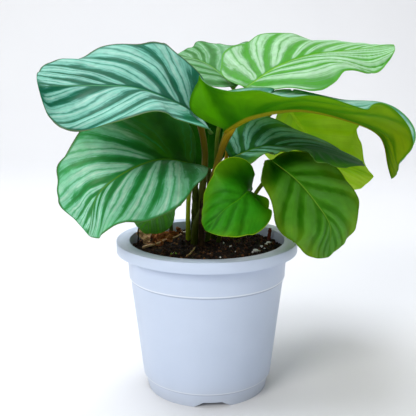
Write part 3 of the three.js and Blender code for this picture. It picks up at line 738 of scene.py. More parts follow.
class LeafDresser:
    """Makes the upper and the lower material of each look, around one shared pattern group."""

    def __init__(self) -> None:
        """Builds the shared group."""
        self.veins = vein_group()

    def masks(self, w: Paint, finish: LeafFinish) -> bpy.types.NodeOutputs:
        """The masks of the pattern in a material, with a finish's own values.

        Args:
            w: The material's wiring.
            finish: The finish.

        Returns:
            The outputs of the pattern group.
        """
        node = w.add("Group", node_tree=self.veins)
        for half, veins in (("Left", finish.left), ("Right", finish.right)):
            for key in VEIN_VALUES:
                node.inputs[f"{half} {key}"].default_value = getattr(veins, key)
        node.inputs["Inner width"].default_value = finish.inner_width
        node.inputs["Outer width"].default_value = finish.outer_width
        return node.outputs

    def upper(self, name: str, finish: LeafFinish) -> Material:
        """The upper face: pale bands between dark veins, a light midrib and a dark margin.

        Args:
            name: The look's name.
            finish: The look's finish.

        Returns:
            The material.
        """
        w = Paint(f"{name} leaf, upper face", finish.shine)
        veins, place = self.masks(w, finish), w.place()
        cloud = w.noise(place, 22, 3)
        dark = w.mix(w.span(cloud, 0.35, 0.65, 0.0, finish.cloudy), finish.dark, finish.line)
        pale = w.mix(w.span(veins["Streak"], 0.4, 0.66, 0.0, 0.7), finish.pale, finish.line)
        share = w.times(veins["Pale"], w.span(cloud, 0.25, 0.75, 0.8, 1.0))
        share = w.times(share, finish.pale_share)
        half_way = w.mix(w.times(share, 2.0, clamp=True), dark, finish.line)
        colour = w.mix(w.sum(share, 2.0, -1.0, clamp=True), half_way, pale)
        # Painted shade next to the base: the bands there take the two shade colours.
        if finish.bare_dark:
            plain = w.mix(veins["Band"], finish.bare_dark, finish.bare_light)
            colour = w.mix(w.times(veins["Bare"], 0.92), colour, plain)
        # Painted highlight: near-white strips inside the pale bands.
        colour = w.mix(w.times(veins["Painted highlight"], finish.highlight_share), colour, PAINTED_HIGHLIGHT)
        colour = w.mix(w.times(veins["Line"], finish.line_share), colour, finish.line)
        if finish.fringe:
            fringe = w.times(w.step(veins["Away"], 0.45, 1.0), finish.fringe_share)
            colour = w.mix(w.times(fringe, w.step(cloud, 0.3, 0.6)), colour, finish.fringe)
        # Fine streaks along the veins: partly their own tone, partly painted sheen.
        streak_tone_and_sheen = w.span(veins["Streak"], 0.3, 0.7, 0.86, 1.12)
        colour = w.shaded(colour, streak_tone_and_sheen, w.span(w.noise(place, 150, 3), 0.3, 0.7, 0.88, 1.12))
        colour = w.mix(w.times(veins["Rib"], 0.9), colour, finish.rib)
        colour = w.mix(w.times(veins["Margin"], 0.8), colour, finish.margin)
        normal = w.bump(w.sum(veins["Streak"], 0.5, w.noise(place, 900, 2)), 0.00018, 0.6)
        w.lit_through(w.mix(w.times(share, 0.5), finish.glow, finish.pale), finish.through, normal)
        return w.done(colour, w.sum(cloud, 0.14, finish.rough - 0.07), normal)

    def lower(self, name: str, finish: LeafFinish) -> Material:
        """The lower face: matt, with soft bands and a raised midrib of a ripe colour.

        Args:
            name: The look's name.
            finish: The look's finish.

        Returns:
            The material.
        """
        w = Paint(f"{name} leaf, lower face", 0.15)
        veins, place = self.masks(w, finish), w.place()
        cloud = w.noise(place, 26, 3)
        # Painted light: the left half of the lower face can take a brighter colour of its own.
        ground = w.mix(veins["Side"], finish.under_left or finish.under, finish.under)
        ground = w.mix(w.step(veins["Along"], 0.12, 0.8), ground, finish.under_tip or finish.under)
        colour = w.mix(w.times(w.minus(1.0, veins["Pale"]), 0.7), ground, finish.under_band)
        colour = w.mix(w.span(cloud, 0.35, 0.75, 0.0, 0.3), colour, finish.under_band)
        # Fine streaks along the veins: partly their own tone, partly painted sheen.
        streak_tone_and_sheen = w.span(veins["Streak"], 0.3, 0.7, 0.82, 1.1)
        colour = w.shaded(colour, streak_tone_and_sheen, w.span(w.noise(place, 110, 3), 0.3, 0.7, 0.88, 1.12))
        # Painted shade in the fold along the midrib of the lower face.
        painted_fold_shade = w.times(w.fall(veins["Away"], 0.04, 0.55), 0.75)
        colour = w.mix(painted_fold_shade, colour, finish.under_band, "MULTIPLY")
        colour = w.mix(w.times(w.fall(veins["Away"], 0.025, 0.06), 0.85), colour, finish.under_rib)
        normal = w.bump(w.sum(veins["Streak"], 0.6, w.noise(place, 700, 2)), 0.0002, 0.6)
        glow = w.mix(w.times(veins["Pale"], 0.6), finish.glow, finish.under)
        w.lit_through(glow, finish.under_through, normal)
        return w.done(colour, w.sum(cloud, 0.12, 0.52), normal)

    def faces(self, look: Look) -> list[Material]:
        """A look's two materials: the upper one first."""
        name = look.name.lower()
        return [self.upper(name, look.value), self.lower(name, look.value)]


# ---- leaves


@dataclass(frozen=True)
class Half:
    """The shape of one half of a blade: its fold and curl, and the waves of its edge."""

    fold: Point
    curl: Spot
    lift: tuple[float, ...]
    reach: tuple[float, ...]


@dataclass(frozen=True)
class Stalk:
    """A leaf stalk: where it stands in the potting mix, and what it passes on its way up."""

    root: Spot
    thickness: float
    via: tuple[Point, ...]


@dataclass(frozen=True)
class Frill:
    """The fine waves of a blade's edge, in millimetres: how far it stands out, and how far it lifts."""

    left: tuple[float, ...] = ()
    right: tuple[float, ...] = ()
    left_lift: tuple[float, ...] = ()
    right_lift: tuple[float, ...] = ()


FRILL_PLACES = 24


def fine(first: int, *values: float) -> tuple[float, ...]:
    """Fine waves at the even places of an edge: these values from the first place on, else none."""
    return (0,) * first + values + (0,) * (FRILL_PLACES - first - len(values))


FRILLS: dict[str, Frill] = {
    "silver_left": Frill(
        left=fine(17, -0.5, -1.5, -2, -0.5, 0.5, 1.5, 4.5),
        right=fine(5, 0.5, 1.5, 2.5, 6, 3.5, 3, -1.5, 2, 4, 2.5, 1, -1, -2.5, -4, -4, -1, -0.5, -0.5, 1.5),
        right_lift=fine(12, -0.5, -1, -2, -0.5, -1, -0.5, -0.5, -0.5),
    ),
    "striped_low_left": Frill(
        left=fine(8, 0.5, 1, 1.5, 1.5, 1, 0.5, 0.5, 0.5, 1.5, 1, 2, 2, 1.5, 1, 1, 1),
        right=fine(11, 0.5, 1.5, 2.5, 1.5, 1.5, 5, 3, 4, 3, 4, 4.5, 2, 0.5),
    ),
    "small_back_left": Frill(left=fine(6, 0.5, 1, 2, -1, -2.5, -1.5, -1, -0.5)),
    "top_back": Frill(
        right=fine(9, 0.5, 1, 1.5, -1.5, -1, -0.5),
        right_lift=fine(10, -0.5, -1, -1.5, -1, 1, 2, -1, -2.5, 0, 2, 2, 2, 2, 1),
    ),
    "bright_top_right": Frill(
        left=fine(5, 2, 6, 6, 4.5, 3, 2, 0.5),
        right=fine(3, 1, 2.5, 4, 4.5, 5, 1.5, 0.5, 2.5, 2.5, 3.5, 3.5, 3, 2.5, 1.5, 1, 1, 1, 0, 0.5, 0.5, 1),
        left_lift=fine(8, -0.5, -1, 1.5, 0, -0.5, 1, 1, 1.5, 1, 2, -1.5, -2, -2.5, -4, -4, -2.5),
    ),
    "large_right": Frill(
        left=fine(15, 1, 2, 2.5, 3, 3, 1, -1.5, -4.5, -4),
        right=fine(15, 1.5, -0.5, -0.5, 1.5, 0.5, 0, 3, 2, 0.5),
        left_lift=fine(10, 1, 2, 2.5, 2.5, 1.5, 0.5),
        right_lift=fine(8, 1, 4, -2.5, 0.5, -1, -2),
    ),
    "dark_right": Frill(
        left=fine(7, -0.5, -1, -1.5, -1, -0.5, 0, 0, 0, 0, 0, -1, -2.5, -4.5, -2.5, -3, -2, -0.5),
        right=fine(2, 1, 2.5, 1, -2, -2.5, 0, 3, 2, -2, -2.5, 0, 3, 1.5, -2, -2, 1, 3, 1.5, -1.5, -1),
    ),
    "round_front": Frill(right=fine(0, 2, 3, 0, -0.5, 0.5)),
    "low_right": Frill(
        left=fine(12, 0.5, 2, 3, 3.5, -1, -2.5, -1.5, -2.5, -2.5, -1, -1, -2.5),
        right=fine(1, 1, 2.5, 4, 4, 5, 2, 1, 0.5, 0, 0, 0, 0, 0, 0, 0, 0.5, 1, 1.5, 2, 2, 1, 0.5),
    ),
    "backlit_right": Frill(
        left=fine(17, 0.5, 1.5, 2.5, 2, 2.5, 2.5, 2),
        right=fine(15, 0.5, 1, 1.5, 0, 1.5, -2.5, -4.5, -4.5, -4),
    ),
}


@dataclass(frozen=True)
class Leaf:
    """A leaf: its blade and its stalk.

    A place on the blade is given by t, from the stalk (0) to the tip (1) along the side veins, and
    by s, from the left edge (-1) over the midrib (0) to the right edge (1).
    """

    name: str
    look: Look
    width: float
    lobe: float
    blunt: float
    midrib: tuple[Point, ...]
    face: tuple[Point, Point]
    left: Half
    right: Half
    stalk: Stalk

    ROWS = 104
    COLUMNS = 60
    BUNCH = 1.6
    DRIP_TIP = 0.05
    SCALLOP = 0.02
    BLADE = 0.55
    RIB = 1.7
    RIB_HALF = 1.5
    SIDE_VEIN = 0.14
    PLEAT = 0.85
    RIPPLE = 1.5
    SWAY = 0.5
    GROOVE = 0.55
    GROOVE_HALF = 1.3
    RELIEF_WIDTH = 120
    SHEATH = 0.7
    JOINT = 0.2
    STALK_STEPS = 72
    STALK_SIDES = 20
    SOIL = 135.0
    ROOT_DEPTH = 13.0

    @property
    def length(self) -> float:
        """The length of the midrib."""
        places, _ = spline(np.array(self.midrib, float), np.linspace(0, 1, 41))
        return float(np.linalg.norm(np.diff(places, axis=0), axis=1).sum())

    def along_rib(self, distance: Array) -> tuple[Array, Array, Array, Array]:
        """The frame of the midrib at distances from its base.

        Args:
            distance: Distances, which may run past either end.

        Returns:
            The share of the length, the places, the way forward and the way the upper face looks.
        """
        length = self.length
        u = np.clip(distance / length, 0, 1)
        places, forward = spline(np.array(self.midrib, float), u)
        forward = unit(forward)
        places = places + forward * (distance - u * length)[:, None]
        base, tip = (unit(np.array(v, float)) for v in self.face)
        up = base * (1 - u)[:, None] + tip * u[:, None]
        return u, places, forward, unit(up - forward * (up * forward).sum(1)[:, None])

    def band(self, t: Array, s: Array) -> Array:
        """The band number of places on the blade."""
        finish, away = self.look.value, np.abs(s)
        return np.where(s > 0, finish.right.band(t, away), finish.left.band(t, away))

    def sheet_point(self, t: Array, s: Array) -> Array:
        """Places on the blade's middle surface, without its fine relief.

        Args:
            t: Places along the blade.
            s: Places across it, from edge to edge.

        Returns:
            The places in millimetres.
        """
        half, reach, length = self.width / 2, np.abs(s), self.length
        drip = self.DRIP_TIP * t**14
        at_rib = length * (t**1.5 + drip)
        backward = self.lobe * np.sin(math.pi * t) * (1 - t) ** 3
        at_edge = length * ((1 - np.cos(math.pi * t)) / 2 - backward + drip)
        fullness = 0.8 * (1 - t) + self.blunt * t
        body = half * np.sin(math.pi * np.clip(t, 0, 1)).clip(0) ** fullness * reach
        u, place, forward, up = self.along_rib(at_rib + (at_edge - at_rib) * reach**1.3)
        side = np.cross(forward, up)
        bumps = np.abs(np.cos(math.pi * self.band(t, s))) ** 0.7 - 0.6
        scallop = self.SCALLOP * bumps * smooth(t, 0.05, 0.2) * smooth(1 - t, 0.04, 0.2)
        out = place.copy()
        frill = FRILLS.get(self.name, Frill())
        left = (-1, self.left, frill.left, frill.left_lift)
        right = (1, self.right, frill.right, frill.right_lift)
        for sign, shape, wave, wave_lift in (left, right):
            on = s < 0 if sign < 0 else s >= 0
            y = body[on] * (1 + (waves(shape.reach, t[on], 1) - 1 + scallop[on]) * reach[on] ** 2)
            y += waves(wave, t[on], 0) * reach[on] ** 4 if wave else 0
            fold = three(shape.fold, u[on])
            curl = shape.curl[0] * (1 - u[on]) + shape.curl[1] * u[on]
            curl = np.where(np.abs(curl) < 1e-3, 1e-3, curl)
            slope = fold + curl * y / half
            lift = waves(shape.lift, t[on], 0) * reach[on] ** 2.5
            lift += waves(wave_lift, t[on], 0) * reach[on] ** 4 if wave_lift else 0
            run = half / curl * (np.sin(slope) - np.sin(fold)) - lift * np.sin(slope)
            rise = half / curl * (np.cos(fold) - np.cos(slope)) + lift * np.cos(slope)
            out[on] += sign * run[:, None] * side[on] + rise[:, None] * up[on]
        return out

    def relief(self, t: Array, s: Array) -> Array:
        """How far the upper face stands off the middle surface: pleats, edge ripples and a sunk rib.

        Args:
            t: Places along the blade.
            s: Places across it, from edge to edge.

        Returns:
            The heights in millimetres.
        """
        reach, size, band = np.abs(s), self.width / self.RELIEF_WIDTH, self.band(t, s)
        inner = smooth(reach, 0.02, 0.3) * smooth(t, 0.02, 0.15) * smooth(1 - t, 0.01, 0.2)
        pleats = -self.PLEAT * np.cos(2 * math.pi * band) * inner
        ripples = self.RIPPLE * np.sin(math.pi * band + 2 * s) * reach**6 * inner
        sway = self.SWAY * np.sin(9 * t + 4 * s + self.width) * np.sin(7 * s - 5 * t) * inner
        across = reach * self.width / 2 * np.sin(math.pi * t).clip(0.02)
        groove = -self.GROOVE * np.exp(-((across / self.GROOVE_HALF) ** 2)) * smooth(1 - t, 0.0, 0.5)
        return size * (pleats + ripples + sway) + groove

    def place(self, t: Array, across: Array) -> Array:
        """Places on the blade's upper face for an even grid.

        Args:
            t: Places along the blade.
            across: Even values from -1 to 1, which are bunched at the midrib.

        Returns:
            The places in millimetres.
        """
        s = np.sign(across) * np.abs(across) ** self.BUNCH
        step = 1e-3
        along = self.sheet_point(np.clip(t + step, 0, 1), s) - self.sheet_point(np.clip(t - step, 0, 1), s)
        over = self.sheet_point(t, np.clip(s + step, -1, 1)) - self.sheet_point(t, np.clip(s - step, -1, 1))
        normal = np.cross(over, along)
        weak = np.linalg.norm(normal, axis=1) < 1e-7
        normal = unit(normal)
        normal[weak] = 0
        return self.sheet_point(t, s) + normal * self.relief(t, s)[:, None]

    def blade(self, faces: Sequence[Material]) -> Piece:
        """Builds the blade: a waved sheet with a thickness and with its midrib raised below.

        Args:
            faces: The materials of its upper and its lower face.

        Returns:
            The blade.
        """
        piece = sheet(f"{self.name}_blade", self.ROWS, self.COLUMNS, self.place)
        mesh = piece.data
        for material in faces:
            mesh.materials.append(material)
        uv = np.empty(2 * len(mesh.loops), np.float32)
        mesh.uv_layers.active.data.foreach_get("uv", uv)
        uv = uv.reshape(-1, 2).astype(float)
        across = 2 * uv[:, 1] - 1
        s = np.sign(across) * np.abs(across) ** self.BUNCH
        uv[:, 1] = (s + 1) / 2
        place_uv(mesh, uv)
        t, reach = uv[:, 0], np.abs(s)
        away = reach * self.width / 2 * np.sin(math.pi * t).clip(0.03)
        size = self.RIB_HALF * (1 - 0.75 * t)
        rib = self.RIB * (1 - t) ** 0.8 * np.exp(-((away / size) ** 2))
        side_vein = self.SIDE_VEIN * np.exp(-((((self.band(t, s) + 0.5) % 1 - 0.5) / 0.09) ** 2))
        side_vein *= smooth(reach, 0.02, 0.1) * (1 - smooth(reach, 0.7, 1.0))
        depth = np.zeros(len(mesh.vertices))
        depth[corners_of(mesh)] = self.BLADE * (1 - 0.3 * smooth(reach, 0.8, 1.0)) + rib + side_vein
        most = self.BLADE + self.RIB + 0.2
        weights = piece.vertex_groups.new(name="depth")
        for i, value in enumerate(depth):
            weights.add([i], float(value / most), "REPLACE")
        modified(
            piece, "SOLIDIFY", thickness=most * MM, offset=-1, use_even_offset=False,
            vertex_group="depth", material_offset=1, material_offset_rim=1,
        )
        piece.vertex_groups.clear()
        softened(piece, 50)
        return piece

    def petiole(self) -> Piece:
        """Builds the stalk: a sheath at its foot, a slim middle and a joint that runs into the rib.

        Returns:
            The stalk.
        """
        thick, (x, y) = self.stalk.thickness, self.stalk.root
        swell = thick + 0.4
        at, drops = np.array([-4.0, 4.0, 14.0]), np.array([2.5 + swell + 0.7, swell + 0.3, 0.5])
        _, places, _, up = self.along_rib(at)
        ends = places - up * drops[:, None]
        low = [(x, y, self.SOIL - self.ROOT_DEPTH), (x, y, self.SOIL + 4)]
        line = route([*low, *self.stalk.via, *map(tuple, ends)], self.STALK_STEPS)
        u = np.linspace(0, 1, len(line))
        sheath, joint = self.SHEATH * (1 - u / 0.4).clip(0), self.JOINT * smooth(u, 0.8, 0.88)
        radii = (thick + sheath + joint) * (1 - 0.62 * smooth(u, 0.86, 1.0))
        return tube(f"{self.name}_petiole", line, capped(radii), self.STALK_SIDES, 0.92)


LEAVES = (
    Leaf(
        "silver_left", Look.SILVER, 135, 0.2, 0.65,
        ((-5, 13, 257), (-29, -12, 272), (-60, -31, 285), (-92, -51, 288), (-128, -71, 288)),
        ((0.3, -0.55, 0.8), (0, -0.65, 0.75)),
        Half(
            (0.05, 0.5, -0.6), (-0.4, 0.2), (0, 0, 1, -4, 4, 1, -3),
            (0.5, 0.7, 0.97, 1, 1.05, 0.95, 0.98),
        ),
        Half(
            (0.6, 0.1, -0.05), (-0.1, -0.6), (0, 0, -1, 2, -2, 1, -1),
            (1.05, 1, 1.03, 0.92, 1.02, 0.97, 1.03),
        ),
        Stalk((-7, 12), 3, ((-6, 10, 170), (-3, 6, 200), (-2, 6, 226))),
    ),
    Leaf(
        "striped_low_left", Look.STRIPED, 110, 0.26, 0.8,
        ((-11, -1, 215), (-41, -22, 222), (-70, -41, 214), (-94, -50, 195), (-103, -45, 165)),
        ((-0.1, -0.4, 0.9), (-0.5, -0.5, 0.7)),
        Half((0.3, -0.1, 0.25), (-0.5, -0.3), (0, 0, 1, -1, 0, 2, -1), (0.62, 0.84, 1, 1.08, 1, 0.9, 1)),
        Half(
            (0.75, 0.45, 0.3), (-0.1, 0.6), (0, 0, 1, 0, -1, -1, 2),
            (1.3, 1.25, 1.1, 1.05, 0.95, 0.95, 1.1),
        ),
        Stalk((-18, 14), 2.1, ((-18, 6, 165), (-16, 0, 190))),
    ),
    Leaf(
        "small_back_left", Look.SMALL, 48, 0.2, 0.8,
        ((-33, 26, 194), (-43, 20, 184), (-51, 18, 171), (-56, 18, 158), (-60, 20, 146)),
        ((0.1, -0.6, 0.8), (0, -0.85, 0.5)),
        Half((0.25, 0.15, 0.1), (-0.2, -0.3), (0, 1, 0, -1, 0, 1, -1), (1, 1, 1, 1, 1.03, 1, 1)),
        Half((0.2, 0.2, 0.1), (-0.2, -0.3), (0, 0, 1, 0, -1, 0, -1), (1, 1, 1, 1, 1, 1, 1)),
        Stalk((-36, 42), 1.6, ((-36, 42, 160), (-31, 38, 178))),
    ),
    Leaf(
        "top_back", Look.BACK, 90, 0.2, 0.8,
        ((26, 49, 284), (13, 76, 296), (-2, 103, 306), (-18, 130, 311), (-36, 156, 312)),
        ((0.05, -0.45, 0.9), (0.1, -0.45, 0.9)),
        Half((0.2, 0.2, 0.2), (-0.2, -0.2), (0, 1, -2, 2, -2, 2, 0), (1, 1.03, 0.97, 1.03, 0.97, 1, 1)),
        Half((0.3, 0.25, 0.2), (0.1, 0.2), (0, 0, 0, 1, -4, 4, 0), (1, 1, 1, 1.1, 0.9, 0.9, 1)),
        Stalk((2, 29), 2.1, ((7, 29, 175), (9, 30, 215), (12, 36, 246))),
    ),
    Leaf(
        "bright_top_right", Look.BRIGHT, 120, 0.23, 0.75,
        ((37, 25, 284), (68, 42, 303), (103, 60, 314), (140, 74, 318), (180, 79, 323)),
        ((-0.25, -0.3, 0.9), (-0.1, -0.25, 0.95)),
        Half((0.3, 0.35, 0), (-0.1, -0.7), (0, -1, 0, 4, -3, -1, 0), (1.15, 1.05, 1.05, 0.95, 1.03, 1, 1)),
        Half(
            (0.1, 0.2, -0.05), (-0.6, -0.6), (2, 4, -2, 5, 0, -2, 1),
            (0.9, 0.85, 1.15, 0.95, 1.03, 1.05, 0.97),
        ),
        Stalk((6, 19), 2.2, ((9, 12, 185), (11, 9, 210), (13, 7, 228), (18, 8, 242))),
    ),
    Leaf(
        "large_right", Look.ARCHING, 125, 0.36, 0.8,
        ((17, -18, 247), (41, -46, 262), (77, -53, 268), (116, -49, 260), (146, -51, 246), (155, -52, 218)),
        ((-0.2, -0.25, 0.95), (0.6, -0.25, 0.75)),
        Half((0.85, -0.1, 1.2), (0, 0), (2, 1, -3, 0, -1, 3, 0), (1, 0.87, 0.92, 1.04, 0.92, 0.72, 0.5)),
        Half((1.5, 0.5, 0.8), (0, 0), (-13, 9, -5, -5, 9, 2, -6), (1.2, 1.1, 0.75, 1.1, 1.05, 1.02, 0.68)),
        Stalk((-12, 3), 2.8, ((-10, 1, 158), (0, -3, 182), (9, -7, 215))),
    ),
    Leaf(
        "dark_right", Look.DARK, 90, 0.14, 0.8,
        ((22, 5, 220), (52, 16, 229), (83, 14, 229), (112, -1, 225), (133, -26, 219)),
        ((-0.4, -0.6, 0.7), (0.2, 0.15, 0.95)),
        Half((0.55, 0, 0), (0, 0), (0, 0, 4, -3, -1, -1, 0), (0.95, 0.95, 1.05, 0.95, 1, 1, 1)),
        Half((0.25, 0.35, -0.15), (0.2, -0.4), (-1, 2, -1, 1, 1, -1, -4), (1, 1.03, 1, 1, 1, 0.95, 1.05)),
        Stalk((0, 4), 2, ((6, 0, 170), (11, 0, 198))),
    ),
    Leaf(
        "round_front", Look.PLAIN, 66, 0.2, 0.8,
        ((39, -39, 196), (35, -55, 199), (27, -68, 195), (14, -75, 187), (1, -78, 173)),
        ((0.1, -0.95, 0.35), (-0.3, -0.85, 0.4)),
        Half((0.35, 0, 0.2), (0.1, -0.3), (5, 0, 0, 0, 0, 0, 0), (0.97, 0.95, 0.82, 0.95, 1, 1, 0.97)),
        Half((0.45, 0.15, -0.2), (0, -0.7), (3, 0, 2, 1, -1, -3, -1), (1, 1, 1.08, 0.96, 0.92, 0.87, 0.92)),
        Stalk((11, 10), 1.7, ((20, 4, 160), (31, -11, 183))),
    ),
    Leaf(
        "low_right", Look.FAINT, 90, 0.09, 0.8,
        ((59, -14, 220), (80, -25, 204), (96, -35, 186), (109, -39, 165), (110, -32, 139)),
        ((0.25, -0.45, 0.85), (0.3, -0.7, 0.65)),
        Half((0.1, 0.15, 0), (0, -0.1), (0, 0, 1, 0, -1, 0, 0), (0.95, 1, 1, 0.98, 0.96, 0.92, 0.98)),
        Half((0.4, -0.05, 0.2), (-0.2, -0.3), (2, 0, 1, -1, 0, 0, 1), (0.95, 1.03, 0.95, 1.05, 1, 1, 1)),
        Stalk((24, 24), 1.9, ((26, 22, 148), (37, 11, 168), (46, -1, 188), (54, -10, 204))),
    ),
    Leaf(
        "backlit_right", Look.BACKLIT, 99, 0.19, 0.8,
        ((78, 70, 268), (95, 94, 245), (116, 108, 221), (142, 108, 201), (171, 94, 190)),
        ((-0.2, 0.95, -0.2), (0.3, 0.8, 0.55)),
        Half((-0.1, 0.15, 0.15), (0, 0), (-4, -2, 0, 2, -1, 0, 0), (0.95, 1, 1, 1, 1, 1, 1)),
        Half((0.2, 0.2, 0.05), (0, 0), (0, 0, 0, 0, 0, 1, -7), (0.4, 0.5, 0.82, 1, 1, 1, 0.95)),
        Stalk((14, 28), 2.1, ((23, 36, 180), (39, 49, 225), (62, 60, 255))),
    ),
    Leaf(
        "small_behind", Look.SHADED, 46, 0.2, 0.8,
        ((-4, 36, 201), (-1, 46, 216), (1, 56, 231), (2, 65, 246), (2, 72, 260)),
        ((0, -0.8, 0.5), (0, -0.85, 0.45)),
        Half((0.35, 0.2, 0.1), (-0.1, -0.3), (0, 1, -1, 2, -2, 1, 0), (0.75, 0.9, 1, 1, 1, 1, 1)),
        Half((0.35, 0.2, 0.1), (-0.1, -0.3), (0, -1, 1, -2, 2, -1, 0), (0.4, 0.6, 0.9, 1, 1, 1, 1)),
        Stalk((-9, 31), 2, ((-8, 32, 165), (-6, 33, 186))),
    ),
)


# ---- stalks


@dataclass(frozen=True)
class StalkFinish:
    """How a stalk looks from its foot to its joint."""

    foot: str
    middle: str
    joint: str
    slot: str


class StalkLook(Enum):
    """The colours of the plant's stalks: darker feet are partly painted shade, the LIT foot painted light.
    """

    GREEN = StalkFinish("465600", "5f7c04", "84981c", "stalk_green")
    LIT = StalkFinish("a4bc18", "6f8c08", "84981c", "stalk_green")
    RIPE = StalkFinish("4a5400", "8f7400", "bc9c08", "stalk_ripe")
    RED = StalkFinish("465200", "7c6608", "7a8a2a", "stalk_red")

    def material(self) -> Material:
        """Makes the stalk's material: ridges along it, and its colour from foot to joint.

        Returns:
            The material.
        """
        finish: StalkFinish = self.value
        w = Paint(f"{self.name.lower()} stalk", 0.2)
        up, around, _ = w.parts(w.place("UV"))
        ridge = w.noise(w.pair(w.times(up, 3.0), w.times(around, 16.0)), 2.0, 3)
        risen = w.sum(w.minus(w.noise(w.place(), 60, 4), 0.5), 0.25, up)
        # The foot colour is partly painted: shade on the darker feet, light on the LIT stalk's bright foot.
        colour = w.mix(w.step(risen, 0.3, 0.85), finish.foot, finish.middle)
        colour = w.mix(w.step(risen, 0.88, 0.97), colour, finish.joint)
        colour = w.mix(w.span(ridge, 0.35, 0.75, 0.0, 0.45), colour, finish.foot)
        return w.done(colour, w.sum(ridge, 0.2, 0.48), w.bump(ridge, 0.0006, 0.7))


STALK_LOOKS = {
    "striped_low_left": StalkLook.LIT,
    "silver_left": StalkLook.RED,
    "bright_top_right": StalkLook.RIPE,
    "large_right": StalkLook.RIPE,
}


# ---- studio


@dataclass(frozen=True)
class Studio:
    """The plain pale sweep, the soft lights and the camera."""

    far: float = 640.6
    high: float = 308.2
    down: float = 0.2081
    turned: float = 0.0015
    lens: float = 60.43
    sensor: float = 36.0
    sweep_back: float = 1500.0
    sweep_front: float = -2500.0
    sweep_radius: float = 700.0
    sweep_top: float = 2600.0
    sweep_half: float = 3200.0
    sky: float = 0.40
    aim: Point = (0, 0, 0.2)

    def camera(self) -> None:
        """Adds the camera of the photograph."""
        data = bpy.data.cameras.new("camera")
        data.lens = self.lens
        data.sensor_width = self.sensor
        data.clip_start = 0.01
        camera = bpy.data.objects.new("camera", data)
        bpy.context.scene.collection.objects.link(camera)
        camera.location = (0, -self.far * MM, self.high * MM)
        camera.rotation_euler = (math.pi / 2 - self.down, 0, -self.turned)
        bpy.context.scene.camera = camera

    def sweep(self) -> None:
        """Adds the floor, which curves up into a plain backdrop."""
        turn = self.sweep_radius * math.pi / 2
        flat = self.sweep_back - self.sweep_front
        total = flat + turn + self.sweep_top

        def place(along: Array, across: Array) -> Array:
            """Places on the floor and the backdrop, from the front to the top."""
            run = along * total
            angle = ((run - flat) / self.sweep_radius).clip(0, math.pi / 2)
            y = self.sweep_front + np.minimum(run, flat) + self.sweep_radius * np.sin(angle)
            z = self.sweep_radius * (1 - np.cos(angle)) + (run - flat - turn).clip(0)
            return np.stack([-across * self.sweep_half, y, z], axis=1)

        floor = sheet("sweep", 120, 2, place)
        softened(floor, 60)
        w = Paint("pale sweep")
        cloud = w.noise(w.place(), 3.0, 2)
        floor.data.materials.append(w.done(w.mix(cloud, "e6e6e7", "e2e2e4"), 0.75))

    def light(self, name: str, place: Point, size: float, watts: float, colour: str) -> None:
        """Adds a square soft light that looks at the plant.

        Args:
            name: The light's name.
            place: Where it hangs, in metres.
            size: The length of its side, in metres.
            watts: How strong it is.
            colour: Its colour.
        """
        data = bpy.data.lights.new(name, "AREA")
        data.shape = "SQUARE"
        data.size = size
        data.energy = watts
        data.color = linear(colour)[:3]
        light = bpy.data.objects.new(name, data)
        bpy.context.scene.collection.objects.link(light)
        light.location = place
        aim = Vector(self.aim) - Vector(place)
        light.rotation_euler = aim.to_track_quat("-Z", "Y").to_euler()

    def surroundings(self) -> None:
        """Sets an even pale sky and a plain rendering of its colours."""
        world = bpy.data.worlds.new("studio")
        world.use_nodes = True
        back = world.node_tree.nodes["Background"]
        back.inputs["Color"].default_value = linear("f7f8fa")
        back.inputs["Strength"].default_value = self.sky
        scene = bpy.context.scene
        scene.world = world
        scene.view_settings.view_transform = "Standard"
        scene.view_settings.look = "None"

    def build(self) -> None:
        """Builds the whole studio."""
        self.camera()
        self.sweep()
        self.surroundings()
        self.light("overhead", (-0.5, 0.1, 2.6), 1.6, 62, "f4f9ff")
        self.light("key", (-1.65, -2.25, 1.9), 1.3, 57, "fffdf8")
        self.light("back", (1.0, 2.4, 1.9), 1.4, 30, "ffffff")
        LOG.info("studio")


# ---- pot


